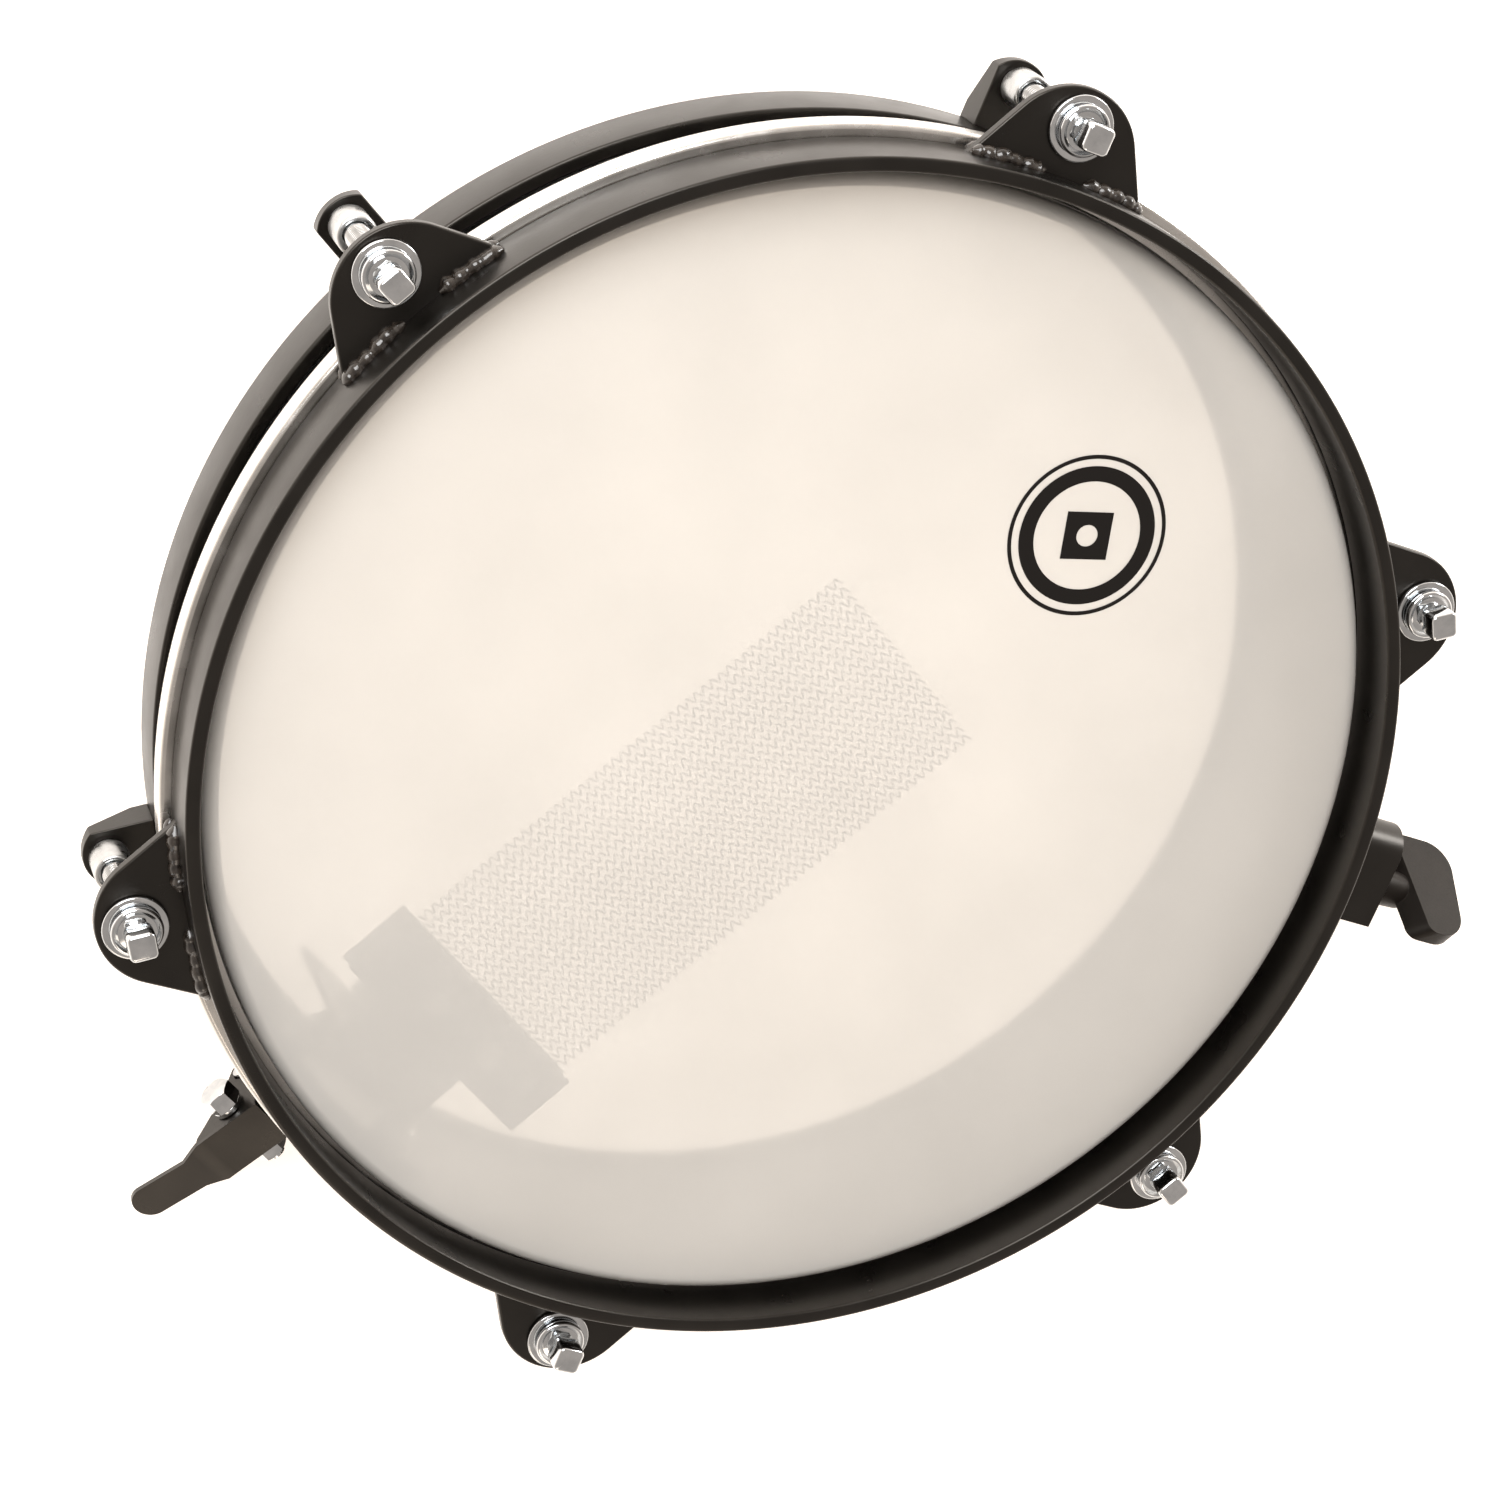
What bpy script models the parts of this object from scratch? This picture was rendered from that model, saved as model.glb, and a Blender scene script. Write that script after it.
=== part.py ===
"""A ten inch single-headed side snare: steel shell, two steel hoops, six tension rods,
a snare set on a throw-off inside, and a clamp for a stand rod.

The drum lies head up. Z is the drum's axis, the rear edge of the shell is at z = 0, and the
throw-off points to -Y. Everything is in metres. Heights are measured up from the rear edge.
"""

import math

import bmesh
import bpy
from mathutils import Matrix, Vector

MM = 0.001
GAP = 0.3 * MM

# Shell
SHELL_R = 127.0 * MM
SHELL_WALL = 1.2 * MM
SHELL_DEPTH = 53.0 * MM
BEARING_EDGE_R = 2.0 * MM
REAR_LIP = 3.0 * MM
REAR_LIP_WALL = 1.6 * MM
TURN_STEPS = 60

# Head
FILM = 0.35 * MM
COLLAR_GAP = 1.0 * MM
FLESH_HOOP_R = SHELL_R + 9.1 * MM
FLESH_HOOP_H = 7.4 * MM
FLESH_LIP = 1.2 * MM
FLESH_GROOVE_H = 1.6 * MM
FLESH_GROOVE_DEPTH = 2.6 * MM

# Hoops
HOOP_R = SHELL_R + 6.5 * MM
HOOP_WALL = 3.2 * MM
HOOP_H = 15.7 * MM
HOOP_RIM_ABOVE_HEAD = 9.2 * MM
HOOP_EDGE = 0.8 * MM
RING_H = 14.5 * MM
RING_Z = 10.2 * MM
RING_LEDGE = 2.0 * MM

# Lugs
LUGS = 6
LUG_CIRCLE_R = SHELL_R + 17.1 * MM
EAR_BASE = 41.8 * MM
EAR_END_R = 15.3 * MM
EAR_END_CENTRE_R = SHELL_R + 10.0 * MM
EAR_T = 2.5 * MM
EAR_BELOW_RIM = 10.4 * MM
BRACKET_W = 11.8 * MM
BRACKET_NOSE_R = 7.8 * MM
BRACKET_REACH = 5.4 * MM
BRACKET_T = 1.6 * MM
BRACKET_DEPTH = 8.3 * MM
BRACKET_NOSE_DEPTH = 2.4 * MM
BRACKET_Z = 18.5 * MM
BARREL_R = 4.3 * MM
BARREL_L = 8.9 * MM
ROD_R = 2.75 * MM
ROD_FLANGE_R = 5.5 * MM
ROD_FLANGE_H = 2.0 * MM
ROD_HEAD_AF = 6.0 * MM
ROD_HEAD_H = 6.8 * MM
ROD_TAIL = 0.6 * MM
WASHER_R = 7.0 * MM
WASHER_H = 1.0 * MM

# Snare set: radii are distances from the drum's axis towards the throw-off
SNARE_X = -3.0 * MM
WIRES = 20
WIRE_PITCH = 2.6 * MM
WIRE_D = 2.2 * MM
WIRE_TIP_R = -30.0 * MM
CLAMP_R = SHELL_R - 35.0 * MM
CLAMP_L = 16.6 * MM
CLAMP_W = 56.0 * MM
CLAMP_LOWER_T = 2.2 * MM
CLAMP_UPPER_T = 1.6 * MM
CLAMP_SCREW_X = 9.0 * MM
CLAMP_SCREW_R = 1.5 * MM
CLAMP_SCREW_HEAD_R = 2.8 * MM
CLAMP_SCREW_HEAD_H = 1.4 * MM
WIRE_CLAMP_Z = SHELL_DEPTH - 6.4 * MM
WIRES_BELOW_HEAD = 0.6 * MM
CARRIER_T = 1.6 * MM
CARRIER_W = 28.0 * MM
CARRIER_LEG_R = SHELL_R - 14.0 * MM
CARRIER_PIVOT_R = SHELL_R - 11.5 * MM
CARRIER_PIVOT_Z = SHELL_DEPTH - 16.2 * MM
KNUCKLE_R = 3.2 * MM
HINGE_PIN_R = 1.5 * MM
CHEEK_T = 1.6 * MM
STRAINER_W = 54.0 * MM
STRAINER_SCREW_X = 21.5 * MM
STRAINER_SCREW_Z = CARRIER_PIVOT_Z - 6.3 * MM

# Throw-off
LEVER_W = 11.6 * MM
LEVER_T = 1.5 * MM
LEVER_PIVOT_R = SHELL_R + 19.0 * MM
LEVER_PIVOT_Z = 16.3 * MM
LEVER_TIP_R = SHELL_R + 50.9 * MM
LEVER_TIP_W = 8.0 * MM
LEVER_TIP_X = 0.4 * MM
LEVER_TIP_DROP = 6.8 * MM
LEVER_CLEAR = 3.7 * MM
LEVER_OPENS = 40.0
LEVER_HEEL = 5.7 * MM
LEVER_HEEL_RISE = 6.35 * MM
LEVER_KINK = 10.8 * MM
LEVER_KINK_DROP = 2.4 * MM
LEVER_NECK_L = 5.0 * MM
LEVER_TAIL_R = 3.8 * MM
FOLD = 0.8 * MM
PIVOT_BOLT_R = 2.0 * MM
LINK_R = SHELL_R + 13.5 * MM
LINK_Z = 7.3 * MM
LINK_PIN_R = 1.8 * MM
PULL_ROD_R = 2.0 * MM
PULL_ROD_INNER_R = SHELL_R - 23.0 * MM
LINK_SWING = 1.7 * MM

# Stand clamp
CLAMP_ANGLE = 30.0
BLOCK_W = 24.0 * MM
BLOCK_H = 14.6 * MM
BLOCK_FLAT_SIDE = 10.0 * MM
BLOCK_Z = 11.7 * MM
BLOCK_END_R = SHELL_R + 40.3 * MM
STAND_ROD_D = 12.7 * MM
SEAT_R = SHELL_R + 10.0 * MM
CLAMP_AXIS_Z = 20.0 * MM
PAD_R = 5.0 * MM
CLAMP_AXIS_T = -1.3 * MM
PAD_T = 3.0 * MM
PAD_TRAVEL = 3.0 * MM
STUD_R = 3.0 * MM
KNOB_SPAN = 26.6 * MM
KNOB_H = 21.2 * MM
KNOB_T = 4.6 * MM
KNOB_CORNER_R = 7.0 * MM
KNOB_HUB_R = 4.6 * MM
KNOB_HUB_H = 8.0 * MM
KNOB_INNER_R = 3.0 * MM
KNOB_NEAR = 2.0 * MM
KNOB_FAR = 7.0 * MM
KNOB_PROUD = 0.2 * MM
KNOB_ROLL = 57.0

# Small hardware
SCREW_R = 2.0 * MM
SCREW_HEAD_R = 4.0 * MM
SCREW_HEAD_H = 2.2 * MM
NUT_R = 4.3 * MM
NUT_H = 3.2 * MM
BOLT_HEAD_R = 4.0 * MM
BOLT_HEAD_H = 5.5 * MM

FILM_Z = SHELL_DEPTH + GAP
RIM_Z = FILM_Z + FILM + HOOP_RIM_ABOVE_HEAD
HOOP_Z = RIM_Z - HOOP_H
FLESH_TOP_Z = HOOP_Z - GAP
EAR_TOP_Z = RIM_Z - EAR_BELOW_RIM
WASHER_Z = EAR_TOP_Z + GAP
ROD_FLANGE_Z = WASHER_Z + WASHER_H + GAP
SHELL_INNER_R = SHELL_R - SHELL_WALL
WELD_R = HOOP_R + GAP


def clear_scene():
    for old in list(bpy.data.objects):
        bpy.data.objects.remove(old, do_unlink=True)


def finish(name, colour, roughness, metallic):
    """A Principled material, with colour in linear RGB."""
    material = bpy.data.materials.new(name)
    material.use_nodes = True
    shader = material.node_tree.nodes["Principled BSDF"]
    shader.inputs["Base Color"].default_value = (*colour, 1.0)
    shader.inputs["Roughness"].default_value = roughness
    shader.inputs["Metallic"].default_value = metallic
    return material


def mesh_object(name, bm, material):
    """The bmesh as a new object, with its faces pointing out."""
    bmesh.ops.remove_doubles(bm, verts=bm.verts, dist=1e-6)
    bmesh.ops.recalc_face_normals(bm, faces=bm.faces)
    mesh = bpy.data.meshes.new(name)
    bm.to_mesh(mesh)
    bm.free()
    if material:
        mesh.materials.append(material)
    mesh.shade_smooth()
    mesh.set_sharp_from_angle(angle=math.radians(30))
    made = bpy.data.objects.new(name, mesh)
    bpy.context.scene.collection.objects.link(made)
    return made


def turned(name, profile, material, steps=TURN_STEPS, place=Matrix()):
    """The closed (radius, height) profile spun round Z, then moved by place."""
    bm = bmesh.new()
    ring = [bm.verts.new((radius, 0, height)) for radius, height in profile]
    edges = [bm.edges.new((ring[i - 1], ring[i])) for i in range(len(ring))]
    bmesh.ops.spin(bm, geom=ring + edges, cent=(0, 0, 0), axis=(0, 0, 1),
                   angle=math.tau, steps=steps, use_merge=True)
    if any(abs(radius) < 1e-9 for radius, _ in profile):
        bmesh.ops.remove_doubles(bm, verts=bm.verts, dist=1e-6)
        bmesh.ops.delete(bm, geom=[e for e in bm.edges if not e.link_faces], context="EDGES")
    bm.transform(place)
    return mesh_object(name, bm, material)


def extruded(name, outline, height, material, place=Matrix()):
    """The closed (x, y) outline raised from z = 0 to height, then moved by place."""
    bm = bmesh.new()
    face = bm.faces.new([bm.verts.new((x, y, 0)) for x, y in outline])
    raised = bmesh.ops.extrude_face_region(bm, geom=[face])
    moved = [part for part in raised["geom"] if isinstance(part, bmesh.types.BMVert)]
    bmesh.ops.translate(bm, verts=moved, vec=(0, 0, height))
    bm.transform(place)
    return mesh_object(name, bm, material)


def rod(name, radius, start, end, material, sides=16, turn=0.0):
    """A straight bar with this many sides from one point to another."""
    start = Vector(start)
    along = Vector(end) - start
    place = Matrix.Translation(start) @ along.to_track_quat("Z", "Y").to_matrix().to_4x4()
    place = place @ Matrix.Rotation(math.radians(turn), 4, "Z")
    corners = arc(0, 0, radius, 0, 360 - 360 / sides, sides - 1)
    return extruded(name, corners, along.length, material, place)


def box(name, low, high, material):
    """A box between two opposite corners."""
    corners = [(low[0], low[1]), (high[0], low[1]), (high[0], high[1]), (low[0], high[1])]
    return extruded(name, corners, high[2] - low[2], material, Matrix.Translation((0, 0, low[2])))


def arc(x, y, radius, start, end, steps):
    """Points on a circle's arc, both ends included, with angles in degrees."""
    angles = [math.radians(start + (end - start) * i / steps) for i in range(steps + 1)]
    return [(x + radius * math.cos(a), y + radius * math.sin(a)) for a in angles]


def combine(target, other, operation):
    """Applies a Boolean of other to target at once, and removes other."""
    change = target.modifiers.new(operation.lower(), "BOOLEAN")
    change.operation = operation
    change.object = other
    bpy.context.view_layer.update()
    graph = bpy.context.evaluated_depsgraph_get()
    result = bpy.data.meshes.new_from_object(target.evaluated_get(graph))
    target.modifiers.remove(change)
    target.data = result
    result.shade_smooth()
    result.set_sharp_from_angle(angle=math.radians(30))
    bpy.data.objects.remove(other, do_unlink=True)
    return target


def join(target, *others):
    for other in others:
        combine(target, other, "UNION")
    return target


def cut(target, *others):
    for other in others:
        combine(target, other, "DIFFERENCE")
    return target


def copies_round_drum(first, name):
    """Six objects of one mesh, turned to the lugs. The first one becomes lug 1's, at angle 0."""
    made = [first]
    first.name = f"{name}_1"
    for index in range(1, LUGS):
        other = bpy.data.objects.new(f"{name}_{index + 1}", first.data)
        bpy.context.scene.collection.objects.link(other)
        made.append(other)
    for index, piece in enumerate(made):
        angle = math.tau * index / LUGS
        piece.rotation_euler.z = angle
    return made


def hung_on(pieces, name, at, turn=0.0):
    """Parents pieces to an empty at a pivot, and keeps them where they are."""
    empty = bpy.data.objects.new(name, None)
    empty.location = at
    empty.rotation_euler.z = turn
    bpy.context.scene.collection.objects.link(empty)
    bpy.context.view_layer.update()
    for piece in pieces:
        piece.parent = empty
        piece.matrix_parent_inverse = empty.matrix_world.inverted()


def make_shell(black):
    """A rolled tube with a rounded bearing edge and a rear edge turned in."""
    inner = SHELL_INNER_R
    top = arc(SHELL_R - BEARING_EDGE_R, SHELL_DEPTH - BEARING_EDGE_R, BEARING_EDGE_R, 0, 90, 3)
    lip = [
        (SHELL_R - BEARING_EDGE_R, SHELL_DEPTH - SHELL_WALL),
        (inner, SHELL_DEPTH - BEARING_EDGE_R),
        (inner, REAR_LIP_WALL + 0.8 * MM),
        (inner - REAR_LIP, REAR_LIP_WALL),
        (inner - REAR_LIP, 0),
        (SHELL_R - 0.8 * MM, 0),
        (SHELL_R, 0.8 * MM),
    ]
    shell = turned("shell", top + lip, black)
    link_hole = rod("link_hole", PULL_ROD_R + 1.2 * MM, (0, -SHELL_R - MM * 4, LINK_Z),
                    (0, -SHELL_INNER_R + MM * 6, LINK_Z), None)
    cut(shell, link_hole)
    for x in (SNARE_X - STRAINER_SCREW_X, SNARE_X + STRAINER_SCREW_X):
        hole = rod("screw_hole", SCREW_R + GAP, strainer_point(x, SHELL_R + 3 * MM),
                   strainer_point(x, SHELL_INNER_R - 3 * MM), None, sides=12)
        cut(shell, hole)
    return shell


def strainer_point(x, radius):
    """A point at this radius on the line of a strainer screw, which points at the drum's axis."""
    angle = math.asin(x / SHELL_R)
    return (radius * math.sin(angle), -radius * math.cos(angle), STRAINER_SCREW_Z)


def make_head(film, aluminium):
    """The film with its collar, and the channel that holds the film's edge."""
    outer = SHELL_R + COLLAR_GAP
    bend = BEARING_EDGE_R + COLLAR_GAP
    groove_z = FLESH_TOP_Z - FLESH_HOOP_H + FLESH_LIP
    foot_z = groove_z + (FLESH_GROOVE_H - FILM) / 2
    foot_r = outer + FILM + GAP + FLESH_LIP + FLESH_GROOVE_DEPTH - GAP
    over = arc(outer - bend + FILM, FILM_Z + FILM - bend, bend, 90, 0, 4)
    under = arc(outer - bend + FILM, FILM_Z + FILM - bend, bend - FILM, 0, 90, 4)
    profile = [(0, FILM_Z + FILM)] + over
    profile += [(outer + FILM, foot_z + FILM), (foot_r, foot_z + FILM), (foot_r, foot_z)]
    profile += [(outer, foot_z)] + under + [(0, FILM_Z)]
    turned("drum_head", profile, film)
    inner = outer + FILM + GAP
    top = FLESH_TOP_Z
    bottom = top - FLESH_HOOP_H
    groove_r = inner + FLESH_LIP + FLESH_GROOVE_DEPTH
    corner = arc(FLESH_HOOP_R - 1.2 * MM, top - 1.2 * MM, 1.2 * MM, 90, 0, 2)
    foot = arc(FLESH_HOOP_R - 2.4 * MM, bottom + 2.4 * MM, 2.4 * MM, 0, -90, 2)
    channel = [(inner, top)] + corner + foot
    channel += [(inner, bottom), (inner, groove_z), (groove_r, groove_z)]
    channel += [(groove_r, groove_z + FLESH_GROOVE_H), (inner, groove_z + FLESH_GROOVE_H)]
    turned("flesh_hoop", channel, aluminium)


def make_hoops(black):
    """The batter hoop is a flat band. The rear ring is the same band with a ledge to the shell."""
    edge = HOOP_EDGE
    inner = HOOP_R - HOOP_WALL
    band = [(inner, HOOP_Z), (inner, RIM_Z - edge), (inner + edge, RIM_Z), (HOOP_R - edge, RIM_Z),
            (HOOP_R, RIM_Z - edge), (HOOP_R, HOOP_Z)]
    turned("batter_hoop", band, black)
    top = RING_Z + RING_H
    ledge = SHELL_R + GAP
    angle = [(ledge, RING_Z), (ledge, RING_Z + RING_LEDGE), (inner, RING_Z + RING_LEDGE),
             (inner, top - edge), (inner + edge, top), (HOOP_R - edge, top),
             (HOOP_R, top - edge), (HOOP_R, RING_Z)]
    turned("rear_ring", angle, black)


def make_ears(black):
    """A rounded triangle of plate at each lug, welded edge-on to the batter hoop."""
    half = EAR_BASE / 2
    base_angle = math.degrees(math.asin(half / WELD_R))
    base = arc(0, 0, WELD_R, -base_angle, base_angle, 6)
    corner = Vector(base[-1])
    away = corner - Vector((EAR_END_CENTRE_R, 0))
    swing = math.degrees(math.atan2(away.y, away.x) - math.acos(EAR_END_R / away.length))
    nose = arc(EAR_END_CENTRE_R, 0, EAR_END_R, swing, -swing, 10)
    place = Matrix.Translation((0, 0, EAR_TOP_Z - EAR_T))
    ear = extruded("ear", base + nose, EAR_T, black, place)
    hole = rod("hole", ROD_R + 0.5 * MM, (LUG_CIRCLE_R, 0, EAR_TOP_Z - 2 * EAR_T),
               (LUG_CIRCLE_R, 0, EAR_TOP_Z + EAR_T), None)
    copies_round_drum(cut(ear, hole), "hoop_ear")


def lug_outline(inset, start_r):
    """The lug's front from above, drawn in by inset: straight sides and a slightly rounded end."""
    half = BRACKET_W / 2 - inset
    nose_r = BRACKET_NOSE_R - inset
    turn = math.degrees(math.asin(half / nose_r))
    end = arc(LUG_CIRCLE_R + BRACKET_REACH - BRACKET_NOSE_R, 0, nose_r, -turn, turn, 8)
    return [(start_r, -half)] + end + [(start_r, half)]


def make_brackets(black):
    """A folded lug: a front plate with a round end, and two cheeks cut off at a slant."""
    low = BRACKET_Z - BRACKET_DEPTH
    half = BRACKET_W / 2
    bracket = extruded("bracket", lug_outline(0, WELD_R), BRACKET_DEPTH, black,
                       Matrix.Translation((0, 0, low)))
    hollow_z = BRACKET_Z - BRACKET_T
    hollow = extruded("hollow", lug_outline(BRACKET_T, WELD_R - MM), BRACKET_DEPTH, None,
                      Matrix.Translation((0, 0, hollow_z - BRACKET_DEPTH)))
    beyond = LUG_CIRCLE_R + BRACKET_REACH + MM
    slant = [(WELD_R + MM, low - MM), (beyond, low - MM), (beyond, BRACKET_Z - BRACKET_NOSE_DEPTH)]
    upright = Matrix.Translation((0, half + MM, 0)) @ Matrix.Rotation(math.pi / 2, 4, "X")
    wedge = extruded("wedge", slant, BRACKET_W + 2 * MM, None, upright)
    hole = rod("hole", ROD_R + GAP, (LUG_CIRCLE_R, 0, low), (LUG_CIRCLE_R, 0, BRACKET_Z + MM),
               None)
    copies_round_drum(cut(bracket, hollow, wedge, hole), "lug_bracket")


def make_barrels(zinc):
    """The threaded barrel that is welded on each lug and takes its tension rod."""
    bore = ROD_R + GAP
    base = BRACKET_Z + GAP
    top = base + BARREL_L
    profile = [(bore, base), (bore, top), (BARREL_R - 0.6 * MM, top), (BARREL_R, top - 0.6 * MM),
               (BARREL_R, base)]
    place = Matrix.Translation((LUG_CIRCLE_R, 0, 0))
    copies_round_drum(turned("barrel", profile, zinc, 20, place), "lug_barrel")


def make_rods(chrome):
    """A tension rod: square key head, round flange and a thin threaded shank."""
    tail = BRACKET_Z - BRACKET_T - ROD_TAIL
    flange_top = ROD_FLANGE_Z + ROD_FLANGE_H
    profile = [(0, tail), (ROD_R, tail), (ROD_R, ROD_FLANGE_Z), (ROD_FLANGE_R, ROD_FLANGE_Z),
               (ROD_FLANGE_R, flange_top - 0.5 * MM), (ROD_FLANGE_R - 0.8 * MM, flange_top),
               (0, flange_top)]
    place = Matrix.Translation((LUG_CIRCLE_R, 0, 0))
    shank = turned("shank", profile, chrome, 16, place)
    bm = bmesh.new()
    bmesh.ops.create_cube(bm, size=1.0)
    bm.transform(Matrix.Diagonal((ROD_HEAD_AF, ROD_HEAD_AF, ROD_HEAD_H + ROD_FLANGE_H / 2, 1)))
    bmesh.ops.bevel(bm, geom=bm.edges, offset=0.7 * MM, segments=1, affect="EDGES")
    head_z = flange_top - ROD_FLANGE_H / 2 + (ROD_HEAD_H + ROD_FLANGE_H / 2) / 2
    bm.transform(Matrix.Translation((LUG_CIRCLE_R, 0, head_z)))
    rods = copies_round_drum(join(shank, mesh_object("head", bm, chrome)), "tension_rod")
    for index, piece in enumerate(rods):
        angle = math.tau * index / LUGS
        on_axis = Vector((LUG_CIRCLE_R * math.cos(angle), LUG_CIRCLE_R * math.sin(angle), 0))
        hung_on([piece], f"rod_axis_{index + 1}", on_axis, angle)


def make_washers(chrome):
    hole = ROD_R + 0.4 * MM
    top = WASHER_Z + WASHER_H
    profile = [(hole, WASHER_Z), (hole, top), (WASHER_R - 0.4 * MM, top),
               (WASHER_R, top - 0.4 * MM), (WASHER_R, WASHER_Z)]
    place = Matrix.Translation((LUG_CIRCLE_R, 0, 0))
    copies_round_drum(turned("washer", profile, chrome, 20, place), "rod_washer")


def side_plate(name, outline, x_low, x_high, material):
    """An outline of (radius, height) points in the throw-off's plane, thickened along X."""
    place = Matrix(((0, 0, 1, x_low), (-1, 0, 0, 0), (0, 1, 0, 0), (0, 0, 0, 1)))
    return extruded(name, outline, x_high - x_low, material, place)


def make_strainer(black, steel):
    """The fixed bracket inside the shell, its hinge pin and its two screws."""
    outer_r = SHELL_INNER_R - GAP
    half_angle = math.degrees(STRAINER_W / 2 / outer_r)
    plate_low = CARRIER_PIVOT_Z - 11 * MM
    plate_high = CARRIER_PIVOT_Z + 5 * MM
    middle = math.degrees(SNARE_X / outer_r) - 90
    outer = arc(0, 0, outer_r, middle - half_angle, middle + half_angle, 8)
    inner = arc(0, 0, outer_r - CARRIER_T, middle + half_angle, middle - half_angle, 8)
    plate = extruded("strainer_bracket", outer + inner, plate_high - plate_low, black,
                     Matrix.Translation((0, 0, plate_low)))
    cheek_in = CARRIER_W / 2 + GAP
    nose = arc(CARRIER_PIVOT_R, CARRIER_PIVOT_Z, KNUCKLE_R + 0.8 * MM, 90, 270, 8)
    root_r = outer_r - CARRIER_T / 2 - 1.2 * MM
    outline = [(root_r, CARRIER_PIVOT_Z + 4 * MM)] + nose + [(root_r, CARRIER_PIVOT_Z - 4 * MM)]
    for side in (-1, 1):
        edges = sorted((side * cheek_in + SNARE_X, side * (cheek_in + CHEEK_T) + SNARE_X))
        join(plate, side_plate("cheek", outline, *edges, black))
        start = strainer_point(SNARE_X + side * STRAINER_SCREW_X, outer_r + MM)
        end = strainer_point(SNARE_X + side * STRAINER_SCREW_X, outer_r - 6 * MM)
        cut(plate, rod("screw_hole", SCREW_R + GAP, start, end, None, sides=12))
    pin_half = cheek_in + CHEEK_T + 2 * MM
    ends = [(SNARE_X + side * pin_half, -CARRIER_PIVOT_R, CARRIER_PIVOT_Z) for side in (-1, 1)]
    cut(plate, rod("pin_hole", HINGE_PIN_R + GAP, *ends, None, sides=12))
    rod("snare_hinge_pin", HINGE_PIN_R, *ends, steel, sides=12)
    for number, side in enumerate((-1, 1), 1):
        x = SNARE_X + side * STRAINER_SCREW_X
        inner_end = strainer_point(x, outer_r - CARRIER_T - NUT_H - 1.5 * MM)
        shank = rod("shank", SCREW_R, inner_end, strainer_point(x, SHELL_R + MM), steel, sides=12)
        head_ends = [strainer_point(x, SHELL_R + r) for r in (GAP, GAP + SCREW_HEAD_H)]
        join(shank, rod("head", SCREW_HEAD_R, *head_ends, steel, sides=16))
        shank.name = f"strainer_screw_{number}"
        nut_ends = [strainer_point(x, outer_r - CARRIER_T - r) for r in (GAP, GAP + NUT_H)]
        nut = rod(f"strainer_nut_{number}", NUT_R, *nut_ends, steel, sides=6)
        bore_ends = [strainer_point(x, SHELL_R), strainer_point(x, SHELL_R - 20 * MM)]
        cut(nut, rod("bore", SCREW_R + GAP, *bore_ends, None, sides=12))


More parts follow.
